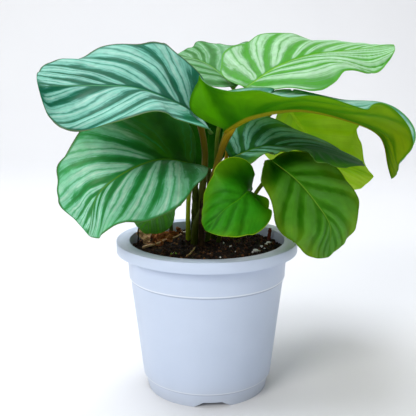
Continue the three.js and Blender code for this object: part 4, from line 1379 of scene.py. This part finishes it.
@dataclass(frozen=True)
class Pot:
    """The plain white plastic pot, turned from its wall's outline."""

    height: float = 144.0
    rim_outer: float = 85.0
    rim_inner: float = 72.9
    rim_drop: float = 9.7
    rim_skirt: float = 2.4
    body_top: float = 75.0
    band_z: float = 109.0
    band_r: float = 72.5
    band_step: float = 1.2
    foot_line_z: float = 13.3
    foot_line_r: float = 60.0
    foot_step: float = 1.6
    foot_r: float = 57.5
    foot_width: float = 4.5
    floor_z: float = 5.0
    floor_thickness: float = 2.6
    pad_r: float = 24.0
    pad_slope: float = 4.0
    wall: float = 2.2
    notches: int = 4
    notch_turn: float = 5.0
    notch_wide: float = 33.0
    notch_narrow: float = 17.0
    notch_height: float = 4.8
    notch_middle: float = 55.0
    notch_reach: float = 26.0
    notch_below: float = 1.0
    drain_holes: int = 6
    drain_r: float = 5.0
    drain_ring: float = 36.0
    drain_depth: float = 16.0
    bevel: float = 0.5
    bevel_from: float = 32
    steps: int = 160

    def inside(self) -> list[Spot]:
        """The wall's inner side, from the rim's drop to the floor: radius and height.

        Returns:
            Its three corners.
        """
        return [
            (self.body_top - self.wall - 0.3, self.height - self.rim_drop),
            (self.band_r + self.band_step - self.wall, self.band_z + 0.9),
            (self.foot_line_r + self.foot_step - self.wall - 0.8, self.floor_z + self.floor_thickness),
        ]

    def outline(self) -> list[Spot]:
        """The closed outline of the wall: radius and height, from the middle of the foot.

        Returns:
            Its corners in order.
        """
        skirt_inner = self.rim_outer - self.rim_skirt
        under = self.height - self.rim_skirt
        low = self.height - self.rim_drop
        return [
            (0, 0),
            (self.pad_r, 0),
            (self.pad_r + self.pad_slope, self.floor_z),
            (self.foot_r - self.foot_width, self.floor_z),
            (self.foot_r - self.foot_width, 0),
            (self.foot_r, 0),
            (self.foot_line_r, self.foot_line_z),
            (self.foot_line_r + self.foot_step, self.foot_line_z + 0.4),
            (self.band_r, self.band_z),
            (self.band_r + self.band_step, self.band_z + 0.35),
            (self.body_top, low),
            (self.body_top + 0.4, under),
            (skirt_inner - 0.3, under),
            (skirt_inner, low),
            (self.rim_outer, low),
            (self.rim_outer, self.height),
            (self.rim_inner, self.height),
            *self.inside(),
            (self.pad_r + self.pad_slope - 0.8, self.floor_z + self.floor_thickness),
            (self.pad_r - 0.8, self.floor_thickness),
            (0, self.floor_thickness),
        ]

    def inner(self, z: float) -> float:
        """The radius of the wall's inner side at a height."""
        radii, heights = zip(*reversed(self.inside()))
        return float(np.interp(z, heights, radii))

    def turned(self) -> Piece:
        """Spins the outline into the pot's wall.

        Returns:
            The wall, before its notches and holes.
        """
        outline = self.outline()
        add = bpy.ops.mesh.primitive_circle_add
        piece = begun("pot_wall", add, vertices=len(outline), fill_type="NOTHING")
        place_points(piece, np.array([(r, 0, z) for r, z in outline], float) * MM)
        spin = bpy.ops.mesh.spin
        edit(piece, spin, steps=self.steps, angle=2 * math.pi, center=(0, 0, 0), axis=(0, 0, 1))
        merged(piece)
        edit(piece, bpy.ops.mesh.dissolve_degenerate, threshold=MERGE_GAP)
        outward(piece)
        return piece

    def notch_cutter(self, azimuth: float) -> Piece:
        """A wedge that reaches through the foot ring, wide below and narrow above.

        Args:
            azimuth: Where it stands round the foot.

        Returns:
            The cutter.
        """
        cutter = begun("notch_cutter", bpy.ops.mesh.primitive_cube_add, size=1)
        corners = points_of(cutter)
        low = corners[:, 2] < 0
        slope = (self.notch_wide - self.notch_narrow) / 2 / self.notch_height
        wide = self.notch_wide / 2 + slope * self.notch_below
        x = np.sign(corners[:, 0]) * np.where(low, wide, self.notch_narrow / 2)
        y = self.notch_middle + corners[:, 1] * self.notch_reach
        z = np.where(low, -self.notch_below, self.notch_height)
        cos, sin = math.cos(azimuth - math.pi / 2), math.sin(azimuth - math.pi / 2)
        place_points(cutter, np.stack([x * cos - y * sin, x * sin + y * cos, z], axis=1) * MM)
        return cutter

    def drain_cutter(self, azimuth: float) -> Piece:
        """A cylinder that opens one drain hole.

        Args:
            azimuth: Where it stands round the floor.

        Returns:
            The cutter.
        """
        x, y = self.drain_ring * math.cos(azimuth), self.drain_ring * math.sin(azimuth)
        cutter = begun(
            "drain_cutter", bpy.ops.mesh.primitive_cylinder_add, vertices=32, radius=self.drain_r * MM,
            depth=self.drain_depth * MM, location=(x * MM, y * MM, self.floor_z * MM),
        )
        bpy.ops.object.transform_apply(location=True, rotation=True, scale=True)
        return cutter

    def material(self) -> Material:
        """White moulded plastic: fine skin, faint flow marks, painted shade lines under its steps with
        painted highlight lines above them, and a warmer, darker tint low down.

        Returns:
            The material.
        """
        w = Paint("white plastic")
        place = w.place()
        height = w.parts(place)[2]
        cloud, streak = w.noise(place, 14, 4), w.noise(w.drawn_out((120.0, 120.0, 6.0)), 1.0, 3)
        colour = w.mix(w.span(cloud, 0.3, 0.7, 0.0, 1.0), "c6d2e6", "c0cde2")
        # Painted shade: a dark line just under the band and foot steps; painted highlight: a light line just
        # above each.
        for z, share in ((self.band_z, 0.55), (self.foot_line_z, 0.4)):
            below = w.math("ABSOLUTE", w.minus(height, (z - 0.55) * MM))
            colour = w.mix(w.times(w.fall(below, 0.0003, 0.0011), share), colour, "8894ac")
            above = w.math("ABSOLUTE", w.minus(height, (z + 1.0) * MM))
            colour = w.mix(w.times(w.fall(above, 0.0002, 0.0009), share), colour, "f4f8fc")
        # A warmer, darker tint towards the bottom, in blotches.
        low_tint = w.times(w.fall(height, 0.0, 0.03), cloud)
        colour = w.mix(w.times(low_tint, 0.35), colour, "c4bfb6")
        fine_skin = w.sum(streak, 0.6, w.times(w.noise(place, 1400, 2), 0.4))
        return w.done(colour, w.span(streak, 0.3, 0.7, 0.34, 0.46), w.bump(fine_skin, 0.00012, 0.5))

    def build(self) -> None:
        """Builds and dresses the pot."""
        piece = self.turned()
        turns = [-90 + self.notch_turn + 360 * i / self.notches for i in range(self.notches)]
        drains = [2 * math.pi * i / self.drain_holes for i in range(self.drain_holes)]
        cutters = [self.notch_cutter(math.radians(turn)) for turn in turns]
        cutters += [self.drain_cutter(azimuth) for azimuth in drains]
        for cutter in cutters:
            modified(piece, "BOOLEAN", object=cutter, operation="DIFFERENCE", solver="EXACT")
            bpy.data.objects.remove(cutter)
        sharp = math.radians(self.bevel_from)
        modified(piece, "BEVEL", width=self.bevel * MM, segments=2, limit_method="ANGLE", angle_limit=sharp)
        softened(piece, 35)
        dressed(piece, "pot", [self.material()], "pot")


# ---- potting mix


@dataclass(frozen=True)
class PottingMix:
    """The potting mix: its body with a crumbly top, loose crumbs, bark and fibres."""

    pot: Pot
    level: float = 135.0
    gap: float = 0.4
    rings: int = 110
    sectors: int = 300
    crumbs: int = 1500
    crumb_sizes: Spot = (0.5, 1.9)
    bark_bits: int = 240
    bark_sizes: Spot = (0.5, 2.2)
    fibres: int = 90
    fibre_lengths: Spot = (5, 17)
    fibre_radii: Spot = (0.12, 0.32)
    seed: int = 11

    def swell(self, x: Array, y: Array) -> Array:
        """The soft height of the mix, which its solid in the CAD has too.

        Args:
            x: Places to the right.
            y: Places to the back.

        Returns:
            The heights there.
        """
        mound = 4 * np.exp(-((x + 4) ** 2 + (y - 12) ** 2) / 900)
        clods = np.sin(0.19 * x + 1.3) * np.cos(0.17 * y - 0.4)
        ripples = np.sin(0.41 * x - 0.33 * y + 2.1)
        return self.level + mound + 1.1 * clods + 0.5 * ripples

    def ground(self, x: Array, y: Array) -> Array:
        """The height of the mix with its crumbly relief.

        Args:
            x: Places to the right.
            y: Places to the back.

        Returns:
            The heights there.
        """
        relief = [
            1.5 * noise.fractal(Vector((a * 0.16, b * 0.16, 3.0)), 0.9, 2.0, 4)
            + 0.8 * abs(noise.noise(Vector((a * 0.55, b * 0.55, 7.0))))
            for a, b in zip(x, y)
        ]
        return self.swell(x, y) + np.array(relief) - 0.3

    def ground_at(self, x: float, y: float) -> float:
        """The height of the mix at one place."""
        return float(self.ground(np.array([x]), np.array([y]))[0])

    def bulk(self) -> Piece:
        """The body of the mix: its top, the side along the pot's wall and its underside.

        Returns:
            The body of the mix.
        """
        pot, gap = self.pot, self.gap
        top = pot.inner(self.level - 3) - gap
        low = pot.floor_z + pot.floor_thickness + gap
        edge = [
            (pot.inner(pot.band_z + 0.9) - gap, pot.band_z + 0.9),
            (pot.inner(low) - gap, low),
            (pot.pad_r + pot.pad_slope - 1.2, low),
            (pot.pad_r - 1.4, pot.floor_thickness + gap),
            (0.0, pot.floor_thickness + gap),
        ]
        rows = self.rings + len(edge)

        def place(along: Array, across: Array) -> Array:
            """Places on the mix, from the middle of its top round to the middle of its underside."""
            row = np.rint(along * rows).astype(int)
            angle = -math.pi * across
            radius = top * np.minimum(row / self.rings, 1)
            x, y = radius * np.cos(angle), radius * np.sin(angle)
            z = np.full_like(x, self.level)
            upper = row <= self.rings
            z[upper] = self.ground(x[upper], y[upper])
            for i, (r, height) in enumerate(edge):
                on = row == self.rings + 1 + i
                x[on], y[on], z[on] = r * np.cos(angle[on]), r * np.sin(angle[on]), height
            return np.stack([x, y, z], axis=1)

        piece = sheet("potting_mix", rows, self.sectors, place)
        outward(piece)
        softened(piece, 80)
        return piece

    def crumb_shapes(self, rng: np.random.Generator) -> list[Piece]:
        """A few rough crumbs to copy: two finer ones and three coarser ones.

        Args:
            rng: Where the draws come from.

        Returns:
            The crumbs.
        """
        shapes = []
        for subdivisions in (2, 2, 1, 1, 1):
            add = bpy.ops.mesh.primitive_ico_sphere_add
            shape = begun("rough_crumb", add, subdivisions=subdivisions, radius=1)
            points = points_of(shape)
            rough = 1 + rng.uniform(-0.28, 0.28, len(points))
            place_points(shape, points * rough[:, None] * np.array([1.2, 0.9, 0.75]))
            shapes.append(shape)
        return shapes

    def scattered(self, name: str, count: int, low: float, high: float, rng: np.random.Generator) -> Piece:
        """Crumbs of one kind, strewn over the mix and sunk into it.

        Args:
            name: The piece's name.
            count: How many crumbs there are.
            low: The smallest radius.
            high: The largest radius.
            rng: Where the draws come from.

        Returns:
            One piece of all the crumbs.
        """
        shapes = self.crumb_shapes(rng)
        rim = self.pot.inner(self.level) - 3
        radius = rim * np.sqrt(rng.uniform(0, 1, count))
        angle = rng.uniform(0, 2 * math.pi, count)
        x, y = radius * np.cos(angle), radius * np.sin(angle)
        z = self.ground(x, y)
        sizes = low + (high - low) * rng.uniform(0, 1, count) ** 2.5
        copies = []
        for i in range(count):
            copy = bpy.data.objects.new(name, shapes[i % len(shapes)].data.copy())
            bpy.context.scene.collection.objects.link(copy)
            copy.location = np.array((x[i], y[i], z[i] + 0.2 * sizes[i])) * MM
            copy.rotation_euler = rng.uniform(0, 2 * math.pi, 3)
            copy.scale = (sizes[i] * MM,) * 3
            copies.append(copy)
        bpy.context.view_layer.update()
        for shape in shapes:
            bpy.data.objects.remove(shape)
        return joined(copies, name)

    def fibre_bundle(self, rng: np.random.Generator) -> Piece:
        """Thin root fibres that lie on the mix.

        Args:
            rng: Where the draws come from.

        Returns:
            One piece of all the fibres.
        """
        rim = self.pot.inner(self.level) - 8
        steps = np.linspace(-0.5, 0.5, 9)
        made = []
        for i in range(self.fibres):
            reach, turn = rim * math.sqrt(rng.uniform(0, 1)), rng.uniform(0, 2 * math.pi)
            heading, length = rng.uniform(0, 2 * math.pi), rng.uniform(*self.fibre_lengths)
            bend = rng.uniform(-1.2, 1.2)
            x = reach * math.cos(turn) + length * steps * np.cos(heading + bend * steps)
            y = reach * math.sin(turn) + length * steps * np.sin(heading + bend * steps)
            pull = np.minimum(1, (rim + 5) / np.maximum(np.hypot(x, y), 1e-6))
            x, y = x * pull, y * pull
            z = self.ground(x, y) + 0.35 + 1.2 * rng.uniform(0, 1) * (1 - 4 * steps**2)
            radii = capped(np.full(len(steps), rng.uniform(*self.fibre_radii)), 1)
            made.append(tube(f"fibre_{i}", np.stack([x, y, z], axis=1), radii, 5))
        return joined(made, "root_fibres")

    def material(self, name: str, dark: str, light: str) -> Material:
        """Moist dark mix with brown specks and a fine rough skin.

        Args:
            name: The material's name.
            dark: The colour of its ground.
            light: The colour of its lighter parts.

        Returns:
            The material.
        """
        w = Paint(name, 0.2)
        place = w.place()
        coarse, specks = w.noise(place, 160, 4, 0.65), w.noise(place, 900, 3, 0.7)
        colour = w.mix(w.step(coarse, 0.42, 0.72), dark, light)
        colour = w.mix(w.step(specks, 0.62, 0.78), colour, "6a4a30")
        height = w.sum(coarse, 0.6, w.times(specks, 0.5))
        return w.done(colour, w.span(coarse, 0.3, 0.7, 0.7, 0.95), w.bump(height, 0.0009, 0.9))

    def build(self) -> None:
        """Builds and dresses the potting mix with what is in it."""
        rng = np.random.default_rng(self.seed)
        dressed(self.bulk(), "soil", [self.material("potting mix", "100a06", "2a1a10")], "soil")
        crumbs = self.scattered("crumbs", self.crumbs, *self.crumb_sizes, rng)
        dressed(crumbs, "soil", [self.material("crumbs", "1a100a", "5c3f2a")])
        bark = self.scattered("bark_bits", self.bark_bits, *self.bark_sizes, rng)
        dressed(bark, "soil", [self.material("bark", "4a2e1c", "94683f")])
        dressed(self.fibre_bundle(rng), "soil", [self.material("fibres", "3c2818", "7a5a3c")])


# ---- litter


@dataclass(frozen=True)
class Scrap:
    """A dry papery scrap: where it lies, how large it is, and how it is cupped, leaned and turned."""

    place: Spot
    size: Spot
    cup: float
    lean: float
    turn: float
    lift: float


class DryFinish(Enum):
    """The colours of the dead bits: their ground, their marks and their slot."""

    PAPER = ("ecc898", "a87a50", "dry")
    RUST = ("c88448", "6a3818", "dry")
    SHEATH = ("4f3a1a", "1f140a", "dry")
    TAN = ("ecc8a0", "b48860", "tan")
    SPLINTER = ("d8bc88", "94744a", "tan")
    TWIG = ("1c1511", "0c0907", "twig")
    STUB = ("7a3a24", "3a1a10", "stalk_red")
    OLD = ("566a0c", "34380c", "stalk_green")
    FADED = ("b48c04", "7a7004", "stalk_ripe")
    FRESH = ("84a844", "4f7a24", "leaf_green")
    PITH = ("d4d0c0", "a49c84", "tan")

    def material(self) -> Material:
        """Makes a dull, fibrous material from the two colours.

        Returns:
            The material.
        """
        ground, marks, _ = self.value
        w = Paint(f"{self.name.lower()} litter", 0.2)
        cloud = w.noise(w.place(), 180, 4, 0.65)
        grain = w.noise(w.drawn_out((300.0, 300.0, 1200.0)), 1.0, 4, 0.7)
        colour = w.mix(w.step(cloud, 0.35, 0.7), ground, marks)
        colour = w.mix(w.span(grain, 0.4, 0.75, 0.0, 0.6), colour, marks)
        return w.done(colour, w.span(cloud, 0.3, 0.7, 0.65, 0.9), w.bump(grain, 0.0005, 0.8))

    def dress(self, piece: Piece, *nodes: str) -> None:
        """Dresses a dead bit, which may stand for nodes of the CAD."""
        dressed(piece, self.value[2], [self.material()], *nodes)


@dataclass(frozen=True)
class Litter:
    """The dead bits that lie on the mix or stand in it, and the white mineral grains."""

    mix: PottingMix
    leaf: Scrap = Scrap((-61.5, 20), (10, 9.5), 2.6, 0.85, 1.245, 5.4)
    crumpled: tuple[Scrap, ...] = (
        Scrap((-49, 12), (6.5, 5.5), 2.6, 0.7, 2.2, 3.4),
        Scrap((-43, 17), (6.0, 4.2), 2.2, 0.9, 0.4, 3.4),
        Scrap((-52, 27), (6.5, 4.4), 2.0, 0.7, 1.3, 4.2),
        Scrap((-38, 24), (5.0, 4.0), 2.0, 1.1, 3.0, 3.6),
        Scrap((-46, 4), (5.0, 3.4), 1.8, 0.5, 0.9, 2.2),
        Scrap((-34, 33), (5.5, 3.8), 2.2, 0.9, 2.6, 3.6),
        Scrap((-44, 34), (5.5, 4.2), 1.8, 0.8, 0.2, 4.6),
        Scrap((-28, 44), (5.0, 3.6), 1.8, 1.0, 1.9, 3.6),
        Scrap((-53, 3), (4.2, 3.4), 1.6, 0.8, 2.9, 2.2),
        Scrap((-36, 13), (4.2, 3.0), 1.5, 0.6, 1.2, 2.0),
    )
    straw: tuple[Spot, ...] = ((-60.5, -12.5), (-51, -1), (-43, 9), (-34, 21), (-24.5, 33.5))
    chip: tuple[Spot, ...] = ((-18.4, -32.6), (-14, -24), (-10.6, -14.4))
    pith: tuple[Spot, ...] = ((-27, 60), (-24, 56), (-21, 51))
    green_bit: tuple[Spot, ...] = ((-33, -28), (-30, -31), (-27, -33))
    twig: tuple[Point, ...] = (
        (-65.5, 2, 131), (-65.7, 2.6, 139), (-65.2, 3.4, 144), (-65.6, 4.6, 148), (-65, 6.4, 152.6),
    )
    stub: tuple[Point, ...] = ((61, 27, 131), (61.3, 27, 138), (61.7, 26.6, 143), (62, 26, 147.4))
    sheath: tuple[Point, ...] = ((-5, -6, 133), (-5, -7, 160), (-4.3, -6.4, 175), (-4, -6, 184.6))
    old_stalk: tuple[Point, ...] = ((-12.4, 10.5, 131), (-12, 10.4, 152), (-11.3, 10, 175), (-10.8, 9, 198))
    shaded_stalk: tuple[Point, ...] = ((3.2, 24, 131), (2.6, 24, 160), (2.2, 23.8, 185), (2, 23.5, 208))
    faded_stalk: tuple[Point, ...] = ((12, 17, 131), (14.5, 16, 185), (17.5, 15, 212), (20, 15, 230))
    grains: tuple[Point, ...] = (
        (60, 10, 2.5), (45, -21, 2.2), (52, 3, 1.8), (22, -8, 1.5), (38, 40, 1.8), (-26, 52, 2.2),
        (-30, -28, 1.7),
    )
    loose_grains: tuple[Point, ...] = (
        (57, 9, 1.5), (48, -19.5, 1.4), (42, -22.5, 1.1), (12, -40, 0.8), (-8, -48, 0.7), (30, -44, 0.7),
        (54, -8, 0.8), (-41, -34, 0.8), (16, 8, 0.8), (34, 12, 0.7), (3, -30, 0.6), (-20, -45, 0.6),
        (40, -38, 0.6), (26, -20, 0.5), (-3, -58, 0.6),
    )
    paper: float = 0.35
    sheath_paper: float = 0.4
    leaf_crinkle: float = 1.6
    scrap_crinkle: float = 2.4
    seed: int = 23

    def scrap(self, name: str, given: Scrap, crinkle: float) -> Piece:
        """A papery scrap with a thickness.

        Args:
            name: The piece's name.
            given: Its place and shape.
            crinkle: How far its creases stand off, in millimetres.

        Returns:
            The scrap.
        """
        x0, y0 = given.place
        base = self.mix.ground_at(x0, y0)

        def place(along: Array, across: Array) -> Array:
            """Places on the scrap, drawn from a square onto a round outline."""
            a, b = 2 * along - 1, across
            u, v = a * np.sqrt(1 - b * b / 2), b * np.sqrt(1 - a * a / 2)
            edge = 1 + 0.12 * np.sin(5 * np.arctan2(v, u) + x0) * (u * u + v * v)
            x, y = given.size[0] * u * edge, given.size[1] * v * edge
            spots = [Vector((p * 0.28 + x0, q * 0.28 + y0, 1.0)) for p, q in zip(x, y)]
            creases = np.array([noise.fractal(spot, 0.8, 2.1, 4) for spot in spots])
            z = given.cup * (u * u + 0.5 * v * v - 0.4) + crinkle * creases
            cos, sin = math.cos(given.lean), math.sin(given.lean)
            y, z = y * cos - z * sin, y * sin + z * cos
            cos, sin = math.cos(given.turn), math.sin(given.turn)
            return np.stack([x0 + x * cos - y * sin, y0 + x * sin + y * cos, base + given.lift + z], axis=1)

        piece = sheet(name, 30, 26, place)
        modified(piece, "SOLIDIFY", thickness=self.paper * MM, offset=0)
        softened(piece, 50)
        return piece

    def laid(self, name: str, spots: Sequence[Spot], thick: float, flat: float, lift: float = 0) -> Piece:
        """A straw or chip that lies along a few places.

        Args:
            name: The piece's name.
            spots: The places that it lies along.
            thick: Its radius at its first end.
            flat: The share of the radius that is kept upward.
            lift: How far what lies there lifts it off the mix.

        Returns:
            The straw or chip.
        """
        line = route([(x, y, 0.0) for x, y in spots], 40)
        low = self.mix.swell(line[:, 0], line[:, 1]) + 0.8 * thick
        bumps = np.pad(self.mix.ground(line[:, 0], line[:, 1]), 4, mode="edge")
        line[:, 2] = np.maximum(low, np.convolve(bumps, np.ones(9) / 9, "valid") + 0.7 * thick)
        line[:, 2] += lift
        along = np.linspace(0, 1, len(line))
        radii = thick * (1 - 0.45 * along + 0.12 * np.sin(17 * along) + 0.1 * np.sin(41 * along))
        return tube(name, line, capped(radii, 1), 12, flat)

    def standing(self, name: str, places: Sequence[Point], low: float, high: float) -> Piece:
        """A stub or twig that stands in the mix, with a radius below and above and knots along it.

        Args:
            name: The piece's name.
            places: The places that it passes.
            low: Its radius at its foot.
            high: Its radius at its top.

        Returns:
            The stub or twig.
        """
        line = route(places, 44)
        along = np.linspace(0, 1, len(line))
        radii = low + (high - low) * along
        radii = radii + 0.07 * low * np.sin(26 * along) + 0.05 * low * np.sin(61 * along)
        return tube(name, line, capped(radii, 1), 14)

    def torn_sheath(self) -> Piece:
        """The dry sheath that stands open round nothing, torn at its top.

        Returns:
            The sheath.
        """
        rows = 60
        line = route(self.sheath, rows + 1)

        def place(along: Array, across: Array) -> Array:
            """Places on the sheath for values along and around it."""
            angle = across * 2.5 - 1.5
            torn = 1 - 0.2 * np.abs(np.sin(5.3 * across + 0.7)) * (1 - 0.4 * np.cos(11 * across))
            run = np.clip(along * torn, 0, 1) * rows
            i = np.minimum(run.astype(int), rows - 1)
            share = (run - i)[:, None]
            middle = line[i] * (1 - share) + line[i + 1] * share
            reach = 2.9 - 0.9 * along + 0.35 * np.sin(9 * across) + 0.5 * along**6 * np.cos(3 * across)
            around = np.stack([np.cos(angle), np.sin(angle), np.zeros_like(angle)], axis=1)
            return middle + around * reach[:, None]

        piece = sheet("papery_sheath", rows, 30, place)
        modified(piece, "SOLIDIFY", thickness=self.sheath_paper * MM, offset=0)
        softened(piece, 50)
        return piece

    def grain(self, name: str, given: Point, rng: np.random.Generator) -> Piece:
        """A rough white mineral grain, sunk a little into the mix.

        Args:
            name: The piece's name.
            given: Its place and its radius.
            rng: Where the draws come from.

        Returns:
            The grain.
        """
        x, y, size = given
        piece = begun(name, bpy.ops.mesh.primitive_ico_sphere_add, subdivisions=3, radius=1)
        points = points_of(piece)
        shift = Vector((rng.uniform(0, 40), 0, 0))
        rough = np.array([1 + 0.34 * noise.fractal(Vector(p) * 1.5 + shift, 0.8, 2.0, 4) for p in points])
        stretch = rng.uniform(0.8, 1.15, 3) * np.array([1, 1, 0.8])
        middle = np.array([x, y, self.mix.ground_at(x, y) + 0.45 * size])
        place_points(piece, (points * rough[:, None] * stretch * size + middle) * MM)
        softened(piece, 70)
        return piece

    def white(self) -> Material:
        """The grains' material: white, porous and dull, with grey pits.

        Returns:
            The material.
        """
        w = Paint("white mineral grain")
        place = w.place()
        pits = w.add("TexVoronoi", {"Vector": place, "Scale": 1500.0}).outputs["Distance"]
        stain = w.noise(place, 420, 3)
        colour = w.mix(w.step(stain, 0.5, 0.75), "ffffff", "cfc8b8")
        colour = w.mix(w.span(pits, 0.0, 0.3, 0.35, 0.0), colour, "a8a294")
        return w.done(colour, w.span(stain, 0.3, 0.7, 0.8, 0.95), w.bump(pits, 0.0004, 0.8))

    def build(self) -> None:
        """Builds and dresses all the litter."""
        DryFinish.PAPER.dress(self.scrap("fallen_leaf", self.leaf, self.leaf_crinkle), "dry_leaf")
        crumpled = enumerate(self.crumpled)
        scraps = [self.scrap(f"scrap_{i}", given, self.scrap_crinkle) for i, given in crumpled]
        DryFinish.RUST.dress(joined(scraps, "crumpled_litter"))
        DryFinish.TAN.dress(self.laid("lying_straw", self.straw, 1.4, 0.7, 1.6), "tan_stalk")
        DryFinish.SPLINTER.dress(self.laid("wood_chip", self.chip, 1.2, 0.6), "splinter")
        DryFinish.TWIG.dress(self.standing("dead_twig", self.twig, 0.85, 0.55), "twig")
        DryFinish.STUB.dress(self.standing("red_stub", self.stub, 2.0, 1.6), "cut_stub")
        DryFinish.SHEATH.dress(self.torn_sheath(), "dry_sheath")
        DryFinish.OLD.dress(self.standing("old_stalk", self.old_stalk, 3.6, 3.0))
        DryFinish.OLD.dress(self.standing("shaded_stalk", self.shaded_stalk, 2.3, 2.3))
        DryFinish.FADED.dress(self.standing("faded_stalk", self.faded_stalk, 2.0, 2.0))
        DryFinish.PITH.dress(self.laid("pith_stick", self.pith, 1.1, 0.8))
        DryFinish.FRESH.dress(self.laid("green_bit", self.green_bit, 1.0, 0.5))
        rng, white = np.random.default_rng(self.seed), [self.white()]
        for i, given in enumerate(self.grains, 1):
            dressed(self.grain(f"grain_{i}", given, rng), "perlite", white, f"perlite_{i}")
        loose = [self.grain(f"loose_{i}", given, rng) for i, given in enumerate(self.loose_grains)]
        dressed(joined(loose, "loose_grains"), "perlite", white)


# ---- assembly


def build_leaves() -> None:
    """Builds and dresses every leaf with its stalk."""
    dresser = LeafDresser()
    stalks = {look: look.material() for look in StalkLook}
    for leaf in LEAVES:
        dressed(leaf.blade(dresser.faces(leaf.look)), leaf.look.value.slot, [], f"leaf_{leaf.name}")
        look = STALK_LOOKS.get(leaf.name, StalkLook.GREEN)
        dressed(leaf.petiole(), look.value.slot, [stalks[look]], f"stalk_{leaf.name}")


def main() -> None:
    """Builds the studio and the plant."""
    logging.basicConfig(level=logging.INFO, format="%(message)s")
    Studio().build()
    pot = Pot()
    pot.build()
    mix = PottingMix(pot)
    mix.build()
    Litter(mix).build()
    build_leaves()


if __name__ == "__main__":
    main()
